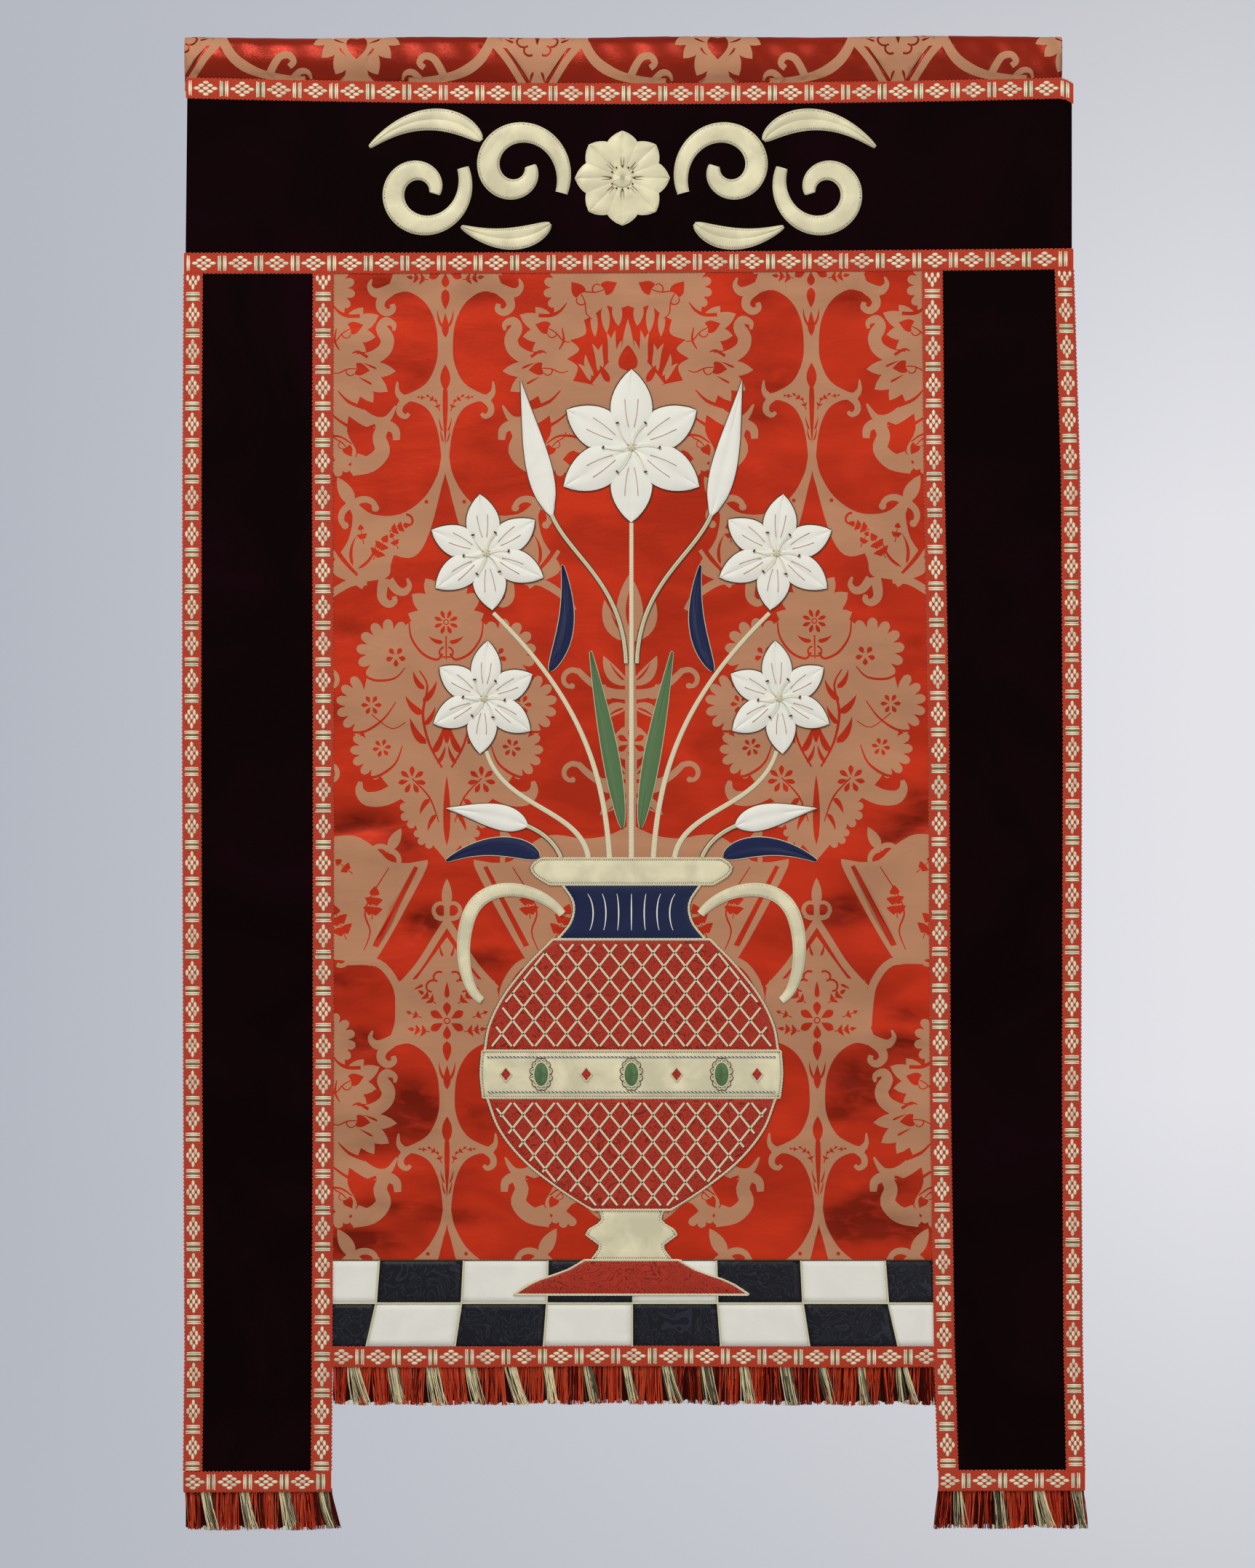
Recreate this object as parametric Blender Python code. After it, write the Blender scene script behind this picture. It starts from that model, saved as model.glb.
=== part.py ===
"""A hanging church banner of velvet and damask, as solids in metres.

The front faces -Y, +X runs to the right and +Z up. The origin is the middle of the
pole sleeve's top edge. Every piece is cut and sewn on as its own solid, and lies a
thin gap in front of or beside the piece that carries it.
"""
import math
from collections import namedtuple

import bmesh
import bpy

# Thicknesses and widths that the whole banner shares
GAP = 0.0003
CLOTH = 0.002
BRAID = 0.0015
BRAID_WIDTH = 0.0255
EDGE_BRAID_WIDTH = 0.0215
BAND = 0.001
APPLIQUE_EDGE = 0.0012
STEM_THICKNESS = 0.001

# Distances in front of the draped middle surface of the cloth
ON_CLOTH = CLOTH / 2 + GAP
ON_BAND = ON_CLOTH + BAND + GAP

# Level lines, as heights below the top edge
HEADING_TOP = -0.0536
HEADING_TOP_SAG = 0.0074
HEADING_FOOT = -0.2889
HEADING_FOOT_TILT = 0.0028
HEADING_FOOT_BOW = 0.0017
HALF_WIDTH = 0.565
CORNER_START = 0.5480
CORNER_DROP = 0.0060
CENTRE_FOOT = -1.6840
LAPPET_FOOT = -1.8430
HEM_BELOW_BRAID_MIDDLE = 0.0035
BAND_TOP = -1.5605

# The side edges of the cloth and the inner edges of the two inner braids
HangLine = namedtuple("HangLine", "z left_edge left_inner right_inner right_edge")
HANG_LINES = [
    HangLine(-0.050, -0.5620, -0.3755, 0.3745, 0.5655),
    HangLine(-0.290, -0.5645, -0.3760, 0.3745, 0.5655),
    HangLine(-0.554, -0.5660, -0.3770, 0.3770, 0.5735),
    HangLine(-0.900, -0.5665, -0.3760, 0.3830, 0.5760),
    HangLine(-1.350, -0.5650, -0.3760, 0.3850, 0.5750),
    HangLine(-1.672, -0.5635, -0.3775, 0.3900, 0.5770),
    HangLine(-1.900, -0.5660, -0.3790, 0.3970, 0.5815),
]

# Soft troughs (depth above 0) and ridges (below 0) that run across the damask
Ripple = namedtuple("Ripple", "x z length height depth tilt")
RIPPLES = [
    Ripple(-0.335, -0.345, 0.040, 0.020, 0.0014, -8),
    Ripple(0.300, -0.350, 0.045, 0.020, 0.0016, 5),
    Ripple(-0.338, -0.700, 0.050, 0.024, -0.0016, 10),
    Ripple(0.345, -0.760, 0.045, 0.024, 0.0018, -12),
    Ripple(-0.339, -1.004, 0.060, 0.020, 0.0042, 6),
    Ripple(-0.290, -1.046, 0.040, 0.018, -0.0030, -10),
    Ripple(-0.330, -1.131, 0.070, 0.022, 0.0036, -8),
    Ripple(-0.340, -1.190, 0.055, 0.020, -0.0034, 4),
    Ripple(-0.300, -1.262, 0.060, 0.022, 0.0032, 12),
    Ripple(-0.345, -1.370, 0.060, 0.024, -0.0036, -6),
    Ripple(-0.310, -1.430, 0.055, 0.020, 0.0038, 8),
    Ripple(-0.335, -1.500, 0.060, 0.018, -0.0030, -5),
    Ripple(0.355, -1.008, 0.050, 0.020, 0.0042, 10),
    Ripple(0.300, -1.050, 0.045, 0.020, -0.0028, -6),
    Ripple(0.300, -1.123, 0.070, 0.022, 0.0044, 4),
    Ripple(0.345, -1.180, 0.050, 0.018, -0.0032, 8),
    Ripple(0.340, -1.245, 0.060, 0.022, 0.0034, -10),
    Ripple(0.305, -1.350, 0.055, 0.022, -0.0034, 6),
    Ripple(0.345, -1.412, 0.060, 0.020, 0.0038, -8),
    Ripple(0.320, -1.488, 0.060, 0.018, -0.0030, 5),
]
FLAT_HALF_WIDTH = 0.228
RIPPLED_HALF_WIDTH = 0.285
RIPPLES_START = -0.318
RIPPLES_END = -1.545

# The shallow upright fold that runs down each lappet
LAPPET_FOLD = 0.0024
LAPPET_SEAM = 0.389
LAPPET_WIDTH = 0.178
LAPPET_WAVE = 0.95
LAPPET_FOLD_START = -0.330

# The pole sleeve
SLEEVE_LEFT = -0.5655
SLEEVE_RIGHT = 0.5530
SLEEVE_WALL = 0.0015
SLEEVE_DEPTH = 0.034
SLEEVE_BEHIND = 0.0095
SLEEVE_TAB = 0.016
SLEEVE_TAB_DEPTH = 0.0050
SLEEVE_STATIONS = 13
SLEEVE_ARC_STEPS = 13

# Cut fringe
FRINGE_LENGTH = 0.049
LOCK_PITCH = 0.0078
LOCK_GAP = 0.0016
FRINGE_BACK = 0.0024
FRINGE_FRONT = -0.0006
LAPPET_FLARE = 0.010
GOLD_EVERY = 7
GOLD_COUNT = 2

# The lily pot stands on the middle of the centre panel
AXIS = 0.004

PIECES = bpy.data.collections.new("church_banner")


def material(name, colour, roughness, metallic=0.0):
    made = bpy.data.materials.new(name)
    made.use_nodes = True
    shader = made.node_tree.nodes["Principled BSDF"]
    shader.inputs["Base Color"].default_value = (*colour, 1.0)
    shader.inputs["Roughness"].default_value = roughness
    shader.inputs["Metallic"].default_value = metallic
    return made


def blend(low, high, value):
    """0 up to low and 1 from high on, with a smooth step between."""
    share = min(max((value - low) / (high - low), 0.0), 1.0)
    return share * share * (3 - 2 * share)


def hang(line, z):
    """How far across one of the hang lines is at a height."""
    for upper, lower in zip(HANG_LINES, HANG_LINES[1:]):
        if z >= lower.z or lower is HANG_LINES[-1]:
            share = (upper.z - z) / (upper.z - lower.z)
            return getattr(upper, line) + share * (getattr(lower, line) - getattr(upper, line))


def drape(x, z):
    """How far back of the plane Y = 0 the middle of the cloth hangs."""
    share = blend(FLAT_HALF_WIDTH, RIPPLED_HALF_WIDTH, abs(x))
    share *= blend(0.0, 0.03, RIPPLES_START - z) * blend(0.0, 0.03, z - RIPPLES_END)
    depth = 0.0
    for ripple in RIPPLES:
        turn = math.radians(ripple.tilt)
        along = (x - ripple.x) * math.cos(turn) + (z - ripple.z) * math.sin(turn)
        across = (z - ripple.z) * math.cos(turn) - (x - ripple.x) * math.sin(turn)
        spent = (along / ripple.length) ** 2 + (across / ripple.height) ** 2
        depth += ripple.depth * math.exp(-spent)
    depth *= share
    beyond = (abs(x) - LAPPET_SEAM) / LAPPET_WIDTH
    if beyond > 0:
        wave = math.sin(2 * math.pi * (z - math.copysign(0.1, x)) / LAPPET_WAVE)
        fold = math.sin(math.pi * min(beyond, 1.0))
        depth += LAPPET_FOLD * wave * fold * blend(0.0, 0.25, LAPPET_FOLD_START - z)
    return depth


def heading_top(x):
    sag = HEADING_TOP_SAG * (1 - (x / HALF_WIDTH) ** 2)
    past = max(x - CORNER_START, 0.0) / (HALF_WIDTH - CORNER_START)
    return HEADING_TOP - sag - CORNER_DROP * past * past


def heading_foot(x):
    share = x / HALF_WIDTH
    return HEADING_FOOT + HEADING_FOOT_TILT * share + HEADING_FOOT_BOW * share * share


def lappet_foot(x):
    return LAPPET_FOOT - 0.0012 * math.sin(9.0 * x)


def centre_foot(x):
    return CENTRE_FOOT + 0.0008 * math.cos(12.0 * x)


def beside(line, offset=0.0):
    """A column of points that keeps its distance from a hang line."""
    return lambda z: hang(line, z) + offset


def upright(x):
    """A column of points straight down."""
    return lambda z: x


def level(line, offset=0.0):
    """A row of points that keeps its distance from a level line."""
    return lambda x: line(x) + offset


def steps(first, last, count):
    return [first + (last - first) * i / count for i in range(count + 1)]


def show(name, bm, look):
    """Makes one solid, with its faces pointing out, from a closed mesh."""
    bmesh.ops.triangulate(bm, faces=bm.faces, quad_method="FIXED")
    bmesh.ops.recalc_face_normals(bm, faces=bm.faces)
    mesh = bpy.data.meshes.new(name)
    bm.to_mesh(mesh)
    bm.free()
    mesh.shade_smooth()
    mesh.set_sharp_from_angle(angle=math.radians(40))
    mesh.materials.append(look)
    piece = bpy.data.objects.new(name, mesh)
    PIECES.objects.link(piece)
    return piece


def sheet(name, columns, rows, front, back, look):
    """Cloth between two distances from the draped surface, on columns and rows of points."""
    bm = bmesh.new()
    across, down = len(columns) - 1, len(rows) - 1
    bmesh.ops.create_grid(bm, x_segments=across, y_segments=down, size=0.5)
    for point in bm.verts:
        column = columns[round((point.co.x + 0.5) * across)]
        row = rows[round((0.5 - point.co.y) * down)]
        z = row(column(row(0.0)))
        x = column(z)
        point.co = (x, drape(x, z) + front, z)
    bmesh.ops.triangulate(bm, faces=bm.faces, quad_method="FIXED")
    grown = bmesh.ops.extrude_face_region(bm, geom=bm.faces[:])
    points = [item for item in grown["geom"] if isinstance(item, bmesh.types.BMVert)]
    bmesh.ops.translate(bm, vec=(0.0, back - front, 0.0), verts=points)
    return show(name, bm, look)


def loft(name, rings, look):
    """A closed solid through rings of points, capped at both ends."""
    bm = bmesh.new()
    made = [[bm.verts.new(point) for point in ring] for ring in rings]
    size = len(made[0])
    for ring, after in zip(made, made[1:]):
        for i in range(size):
            j = (i + 1) % size
            bm.faces.new((ring[i], ring[j], after[j], after[i]))
    bm.faces.new(made[0])
    bm.faces.new(made[-1])
    return show(name, bm, look)


# Panels, which meet at seams under the braids


def hanging_rows(foot, ends):
    """Rows down a panel below the heading, closest where the cloth ripples."""
    rows = [level(heading_foot, -GAP / 2), level(heading_foot, -BRAID_WIDTH / 2 - GAP)]
    heights = steps(-0.380, -0.930, 8) + steps(-0.965, -1.560, 17) + steps(-1.640, -1.790, 2)
    rows += [lambda x, z=z: z for z in heights if z > foot(0.0) + BRAID_WIDTH]
    rows += [level(foot, offset) for offset in ends]
    return rows


def panels(velvet, damask):
    half = BRAID_WIDTH / 2
    heading_columns = [beside("left_edge")]
    heading_columns += [upright(x) for x in steps(-0.52, 0.52, 13)]
    heading_columns += [beside("right_edge", -0.016), beside("right_edge")]
    heading_rows = [level(heading_top)]
    heading_rows += [level(heading_top, -0.03)]
    heading_rows += [lambda x, z=z: z for z in (-0.130, -0.200)]
    heading_rows += [level(heading_foot, GAP / 2)]
    sheet("heading", heading_columns, heading_rows, -CLOTH / 2, CLOTH / 2, velvet)

    ends = (half + GAP, -HEM_BELOW_BRAID_MIDDLE)
    inside = [-0.335, -0.285, -FLAT_HALF_WIDTH, -0.114, 0.0, 0.114, FLAT_HALF_WIDTH, 0.285, 0.335]
    centre_columns = [beside("left_inner", -half + GAP / 2), beside("left_inner")]
    centre_columns += [upright(x) for x in inside]
    centre_columns += [beside("right_inner"), beside("right_inner", half - GAP / 2)]
    rows = hanging_rows(centre_foot, ends)
    sheet("centre_panel", centre_columns, rows, -CLOTH / 2, CLOTH / 2, damask)

    rows = hanging_rows(lappet_foot, ends)
    left_columns = [beside("left_edge"), beside("left_edge", EDGE_BRAID_WIDTH)]
    left_columns += [beside("left_edge", 0.062), beside("left_inner", -0.062)]
    left_columns += [beside("left_inner", -BRAID_WIDTH), beside("left_inner", -half - GAP / 2)]
    sheet("lappet_left", left_columns, rows, -CLOTH / 2, CLOTH / 2, velvet)
    right_columns = [beside("right_inner", half + GAP / 2), beside("right_inner", BRAID_WIDTH)]
    right_columns += [beside("right_inner", 0.062), beside("right_edge", -0.062)]
    right_columns += [beside("right_edge", -EDGE_BRAID_WIDTH), beside("right_edge")]
    sheet("lappet_right", right_columns, rows, -CLOTH / 2, CLOTH / 2, velvet)


# Braids, which lie on the panels; the outer ones turn over the cloth's edge


def edge_braid(name, line, inward, rows, look):
    """A braid that covers the front of a side edge and turns back over its thickness."""
    rings = []
    for row in rows:
        z = row(hang(line, row(0.0)))
        edge = hang(line, z)
        outer, inner = edge - inward * (GAP + BRAID), edge - inward * GAP
        end = edge + inward * EDGE_BRAID_WIDTH
        front, back, turned = -ON_CLOTH - BRAID, -ON_CLOTH, CLOTH / 2
        section = [(end, front), (outer, front), (outer, turned)]
        section += [(inner, turned), (inner, back), (end, back)]
        if inward < 0:
            section.reverse()
        rings.append([(x, drape(x, z) + y, z) for x, y in section])
    loft(name, rings, look)


def braids(look):
    half = BRAID_WIDTH / 2
    turned = GAP + BRAID
    front = -ON_CLOTH - BRAID
    across = [beside("left_edge", -turned)]
    across += [upright(x) for x in steps(-0.52, 0.52, 13)]
    across += [beside("right_edge", -0.016), beside("right_edge", turned)]
    rows = [level(heading_top), level(heading_top, -BRAID_WIDTH)]
    sheet("braid_top", across, rows, front, -ON_CLOTH, look)
    rows = [level(heading_foot, half), level(heading_foot, -half)]
    sheet("braid_heading_foot", across, rows, front, -ON_CLOTH, look)

    upright_rows = hanging_rows(lappet_foot, (half + GAP,))[1:]
    edge_braid("braid_left_outer", "left_edge", 1, upright_rows, look)
    edge_braid("braid_right_outer", "right_edge", -1, upright_rows, look)
    for side, line, outward in (("left", "left_inner", -1), ("right", "right_inner", 1)):
        columns = [beside(line), beside(line, outward * half), beside(line, outward * BRAID_WIDTH)]
        if outward < 0:
            columns.reverse()
        sheet(f"braid_{side}_inner", columns, upright_rows, front, -ON_CLOTH, look)

    foot_rows = [level(lappet_foot, half), level(lappet_foot, -half)]
    left = [beside("left_edge", -turned), beside("left_edge", EDGE_BRAID_WIDTH)]
    left += [beside("left_edge", 0.062), beside("left_inner", -0.062)]
    left += [beside("left_inner", -BRAID_WIDTH), beside("left_inner")]
    sheet("braid_left_foot", left, foot_rows, front, -ON_CLOTH, look)
    right = [beside("right_inner"), beside("right_inner", BRAID_WIDTH)]
    right += [beside("right_inner", 0.062), beside("right_edge", -0.062)]
    right += [beside("right_edge", -EDGE_BRAID_WIDTH), beside("right_edge", turned)]
    sheet("braid_right_foot", right, foot_rows, front, -ON_CLOTH, look)

    centre = [beside("left_inner", GAP)]
    centre += [upright(x) for x in steps(-0.30, 0.30, 6)]
    centre += [beside("right_inner", -GAP)]
    foot_rows = [level(centre_foot, half), level(centre_foot, -half)]
    sheet("braid_centre_foot", centre, foot_rows, front, -ON_CLOTH, look)


def chequer_band(look):
    columns = [beside("left_inner", GAP)]
    columns += [upright(x) for x in steps(-0.30, 0.30, 6)]
    columns += [beside("right_inner", -GAP)]
    rows = [lambda x: BAND_TOP, level(centre_foot, BRAID_WIDTH / 2 + GAP)]
    sheet("chequer_band", columns, rows, -ON_CLOTH - BAND, -ON_CLOTH, look)


# The pole sleeve, a loop of damask whose foot lies flat behind the heading


def sleeve_section(x):
    """The outer loop of the sleeve, from its front foot over the top to its back foot."""
    share = (x - SLEEVE_LEFT) / (SLEEVE_RIGHT - SLEEVE_LEFT)
    top = 0.0022 * share - 0.0009 + 0.0009 * math.cos(7 * math.pi * share)
    seam = HEADING_TOP - HEADING_TOP_SAG * (1 - (x / HALF_WIDTH) ** 2)
    tall = (top - seam) / 2
    deep = SLEEVE_DEPTH / 2 + 0.0011 * math.sin(11 * share + 0.6)
    middle = SLEEVE_BEHIND + 0.0006 * math.sin(17 * share)
    points = []
    for angle in steps(-150, 150, SLEEVE_ARC_STEPS):
        turn = math.radians(angle)
        points.append((middle + deep * math.sin(turn), top - tall + tall * math.cos(turn)))
    touching = CLOTH / 2 + GAP
    points[0] = (touching, points[0][1])
    foot = seam - SLEEVE_TAB
    behind = touching + SLEEVE_TAB_DEPTH
    tab = [(behind + 0.0035, seam + 0.001), (behind, foot), (touching, foot), (touching, seam + 0.001)]
    return points + tab


def inset(loop, distance):
    """The same loop, moved inward by a distance."""
    moved = []
    for i, (y, z) in enumerate(loop):
        before, after = loop[i - 1], loop[(i + 1) % len(loop)]
        first = math.hypot(y - before[0], z - before[1])
        second = math.hypot(after[0] - y, after[1] - z)
        ny = (z - before[1]) / first + (after[1] - z) / second
        nz = -(y - before[0]) / first - (after[0] - y) / second
        size = math.hypot(ny, nz)
        reach = distance / max(size / 2, 0.5)
        moved.append((y + ny / size * reach, z + nz / size * reach))
    return moved


def pole_sleeve(look):
    bm = bmesh.new()
    shells = []
    for wall in (0.0, SLEEVE_WALL):
        rings = []
        for i in range(SLEEVE_STATIONS + 1):
            x = SLEEVE_LEFT + (SLEEVE_RIGHT - SLEEVE_LEFT) * i / SLEEVE_STATIONS
            loop = sleeve_section(x)
            if wall:
                loop = inset(loop, wall)
            rings.append([bm.verts.new((x, y, z)) for y, z in loop])
        shells.append(rings)
    for rings in shells:
        for ring, after in zip(rings, rings[1:]):
            for i in range(len(ring)):
                j = (i + 1) % len(ring)
                bm.faces.new((ring[i], ring[j], after[j], after[i]))
    for end in (0, -1):
        outer, inner = shells[0][end], shells[1][end]
        for i in range(len(outer)):
            j = (i + 1) % len(outer)
            bm.faces.new((outer[i], outer[j], inner[j], inner[i]))
    show("pole_sleeve", bm, look)


# Cut fringe: locks that hang from a narrow strip under each foot braid


def fringe(name, left, right, foot, flare, look):
    """A strip with its locks; every few locks are gold ones that slant in front."""
    strip_top = level(foot, -HEM_BELOW_BRAID_MIDDLE - GAP)
    strip_foot = level(foot, -BRAID_WIDTH / 2)
    z = foot((left(foot(0.0)) + right(foot(0.0))) / 2)
    first, last = left(z), right(z)
    count = round((last - first) / LOCK_PITCH)
    pitch = (last - first) / count
    bm = bmesh.new()

    def pair(x, height):
        surface = drape(x, z)
        return [bm.verts.new((x, surface + y, height)) for y in (FRINGE_FRONT, FRINGE_BACK)]

    tops = [pair(first + pitch * i, strip_top(first + pitch * i)) for i in range(count + 1)]
    lefts = []
    rights = []
    for i in range(count):
        x = first + pitch * i
        start = x if i == 0 else x + LOCK_GAP / 2
        end = x + pitch if i == count - 1 else x + pitch - LOCK_GAP / 2
        lefts.append(pair(start, strip_foot(x)))
        rights.append(pair(end, strip_foot(x)))
    for i in range(count):
        for side in (0, 1):
            bm.faces.new((tops[i][side], tops[i + 1][side], rights[i][side], lefts[i][side]))
            if i + 1 < count:
                bm.faces.new((tops[i + 1][side], lefts[i + 1][side], rights[i][side]))
        bm.faces.new((*tops[i], *reversed(tops[i + 1])))
        if i + 1 < count:
            bm.faces.new((*rights[i], *reversed(lefts[i + 1])))
    bm.faces.new((*tops[0], *reversed(lefts[0])))
    bm.faces.new((*tops[-1], *reversed(rights[-1])))

    for i in range(count):
        gold = (i + 3) % GOLD_EVERY < GOLD_COUNT
        sway = 0.0012 * math.sin(2.4 * i) + 0.0008 * math.sin(5.1 * i + 1)
        long = FRINGE_LENGTH * (1 + 0.05 * math.sin(3.7 * i) + 0.04 * math.sin(1.3 * i + 2))
        spread = flare * ((2 * i + 1) / count - 1) ** 3
        forward = -0.0042 if gold else 0.0005 * math.sin(2.9 * i)
        slant = 0.011 if gold and i < count - GOLD_COUNT else 0.0
        knee = strip_foot(first) - 0.36 * long
        root = [lefts[i][0], rights[i][0], rights[i][1], lefts[i][1]]
        middle = []
        for point, wide in zip(root, (-1, 1, 1, -1)):
            place = (point.co.x + 0.3 * sway - wide * 0.0001, point.co.y + forward, knee)
            middle.append(bm.verts.new(place))
        centre = sum(point.co.x for point in root) / 4 + sway + spread + slant
        depth = sum(point.co.y for point in root) / 4 + forward
        half = 0.26 * pitch
        tip_z = strip_foot(first) - long
        tip = [bm.verts.new((centre + half * side, depth, tip_z - 0.001 * side)) for side in (-1, 1)]
        for k in range(4):
            j = (k + 1) % 4
            bm.faces.new((root[k], root[j], middle[j], middle[k]))
        bm.faces.new((middle[0], middle[1], tip[1], tip[0]))
        bm.faces.new((middle[2], middle[3], tip[0], tip[1]))
        bm.faces.new((middle[1], middle[2], tip[1]))
        bm.faces.new((middle[3], middle[0], tip[0]))
    show(name, bm, look)


def fringes(look):
    fringe("fringe_centre", beside("left_inner", GAP), beside("right_inner", -GAP), centre_foot, 0.0, look)
    fringe("fringe_left", beside("left_edge"), beside("left_inner", -GAP), lappet_foot, LAPPET_FLARE, look)
    fringe("fringe_right", beside("right_inner", GAP), beside("right_edge"), lappet_foot, LAPPET_FLARE, look)


# Appliques: ribbons along a line, shapes turned about an upright axis, and flowers

FLAT = [(-1.0, 0.0), (-1.0, 1.0), (1.0, 1.0), (1.0, 0.0)]
RIDGED = [(-1.0, 0.0), (-1.0, 0.4), (0.0, 1.0), (1.0, 0.4), (1.0, 0.0)]
PADDED = [(-1.0, 0.0), (-1.0, 0.4), (-0.86, 1.0), (0.86, 1.0), (1.0, 0.4), (1.0, 0.0)]


def bezier(start, pull, push, end, count):
    points = []
    for t in steps(0.0, 1.0, count):
        weights = ((1 - t) ** 3, 3 * t * (1 - t) ** 2, 3 * t * t * (1 - t), t ** 3)
        corners = (start, pull, push, end)
        points.append(tuple(sum(w * c[k] for w, c in zip(weights, corners)) for k in (0, 1)))
    return points


def spiral(centre, radius_from, radius_to, angle_from, angle_to, count):
    points = []
    for t in steps(0.0, 1.0, count):
        radius = radius_from * (radius_to / radius_from) ** t
        angle = math.radians(angle_from + (angle_to - angle_from) * t)
        points.append((centre[0] + radius * math.cos(angle), centre[1] + radius * math.sin(angle)))
    return points


def mirrored(points, side):
    return [(side * x, z) for x, z in points]


def ribbon(name, origin, line, half_width, tall, section, look, base=ON_CLOTH):
    """A raised strip along a line; half_width says how wide it is at each share of its length."""
    rings = []
    for i, (x, z) in enumerate(line):
        before, after = line[max(i - 1, 0)], line[min(i + 1, len(line) - 1)]
        run = math.hypot(after[0] - before[0], after[1] - before[1])
        across_x, across_z = (after[1] - before[1]) / run, -(after[0] - before[0]) / run
        half = half_width(i / (len(line) - 1))
        ring = []
        for side, high in section:
            place_x = origin[0] + x + across_x * side * half
            place_z = origin[1] + z + across_z * side * half
            ring.append((place_x, -base - tall * high, place_z))
        rings.append(ring)
    return loft(name, rings, look)


def leaf_width(widest):
    return lambda t: widest * (0.12 + 0.88 * math.sin(math.pi * t ** 0.8) ** 0.8)


def scroll_width(widest):
    return lambda t: widest * (0.22 + 0.78 * math.sin(math.pi * min(0.08 + 0.85 * t, 1.0)) ** 0.7)


def bud_width(stalk, widest, swell):
    def width(t):
        if t < swell:
            return stalk
        share = (t - swell) / (1 - swell)
        return stalk * (1 - share) + widest * math.sin(math.pi * share ** 0.75) + 0.0004 * share
    return width


def turned(name, outline, tall, look, base=ON_CLOTH):
    """A padded piece with the same outline on both sides of the axis."""
    rings = []
    for z, half in outline:
        rings.append([(AXIS + side * half, -base - tall * high, z) for side, high in PADDED])
    return loft(name, rings, look)


FlowerRing = namedtuple("FlowerRing", "reach rise valley")
FLOWER_RINGS = [
    FlowerRing(1.00, 0.00, 0.00),
    FlowerRing(0.66, 0.62, 0.45),
    FlowerRing(0.30, 0.92, 0.30),
]
FLOWER_BACK_RING = 0.5


def flower(name, centre, radius, petals, fill, turn, stretch, tall, look, base=ON_CLOTH, points=6):
    """A flower seen from the front: ridged, pointed petals that rise to a raised middle."""
    bm = bmesh.new()
    count = petals * points

    def ring(share, rise, valley):
        made = []
        for i in range(count):
            angle = 2 * math.pi * i / count
            edge = abs(math.sin(petals * angle / 2))
            reach = share * radius * (fill + (1 - fill) * (1 - edge) ** 0.5)
            heading = angle + math.radians(turn)
            x = centre[0] + reach * math.cos(heading) * stretch[0]
            z = centre[1] + reach * math.sin(heading) * stretch[1]
            made.append(bm.verts.new((x, -base - rise * (1 - valley * edge), z)))
        return made

    def join(outer, inner):
        for i in range(count):
            j = (i + 1) % count
            bm.faces.new((outer[i], outer[j], inner[j], inner[i]))

    def close(middle, inner):
        for i in range(count):
            bm.faces.new((middle, inner[i], inner[(i + 1) % count]))

    front = [ring(row.reach, APPLIQUE_EDGE + (tall - APPLIQUE_EDGE) * row.rise, row.valley)
             for row in FLOWER_RINGS]
    back = [ring(1.0, 0.0, 0.0), ring(FLOWER_BACK_RING, 0.0, 0.0)]
    join(back[0], front[0])
    for rings in (front, back):
        for outer, inner in zip(rings, rings[1:]):
            join(outer, inner)
    close(bm.verts.new((centre[0], -base - tall, centre[1])), front[-1])
    close(bm.verts.new((centre[0], -base, centre[1])), back[-1])
    show(name, bm, look)


HEADING_MIDDLE = (-0.0075, -0.1815)
HEADING_TALL = 0.0042


def heading_scrollwork(look):
    """A rosette between two pairs of scrolls with leaves, padded like carved work."""
    flower("heading_rosette", HEADING_MIDDLE, 0.060, 8, 0.62, 0, (1, 1), 0.005, look, points=5)
    inner = spiral((0.136, 0.012), 0.066, 0.019, 208, -190, 17)
    outer = spiral((0.258, -0.016), 0.062, 0.019, 152, 550, 17)
    high_leaf = bezier((0.180, 0.048), (0.205, 0.078), (0.262, 0.092), (0.322, 0.040), 9)
    low_leaf = bezier((0.092, -0.058), (0.120, -0.082), (0.160, -0.084), (0.205, -0.062), 8)
    for side, word in ((-1, "left"), (1, "right")):
        parts = [
            (f"heading_scroll_{word}_inner", inner, scroll_width(0.0135)),
            (f"heading_scroll_{word}_outer", outer, scroll_width(0.0130)),
            (f"heading_leaf_{word}_high", high_leaf, leaf_width(0.0135)),
            (f"heading_leaf_{word}_low", low_leaf, leaf_width(0.0135)),
        ]
        for name, line, width in parts:
            ribbon(name, HEADING_MIDDLE, mirrored(line, side), width, HEADING_TALL, RIDGED, look)


VASE_TALL = 0.0030
RIM = [(-1.0490, 0.114), (-1.0580, 0.127), (-1.0700, 0.123), (-1.0820, 0.104)]
NECK = [(-1.0823, 0.088), (-1.1050, 0.074), (-1.1300, 0.077), (-1.1520, 0.094)]
SHOULDER = [(-1.1523, 0.100), (-1.1850, 0.132), (-1.2250, 0.163), (-1.2620, 0.181), (-1.2940, 0.187)]
BELLY = [(-1.2943, 0.190), (-1.3240, 0.192), (-1.3540, 0.189)]
BOWL = [(-1.3543, 0.184), (-1.3950, 0.168), (-1.4350, 0.136), (-1.4700, 0.092), (-1.4970, 0.050)]
KNOP = [(-1.4973, 0.040), (-1.5120, 0.038), (-1.5270, 0.058), (-1.5420, 0.040), (-1.5600, 0.050)]
FOOT = [(-1.5610, 0.060), (-1.5740, 0.082), (-1.5890, 0.124), (-1.6050, 0.150)]
JEWEL_ON_BELLY = (-0.115, 0.0, 0.115)
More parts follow.
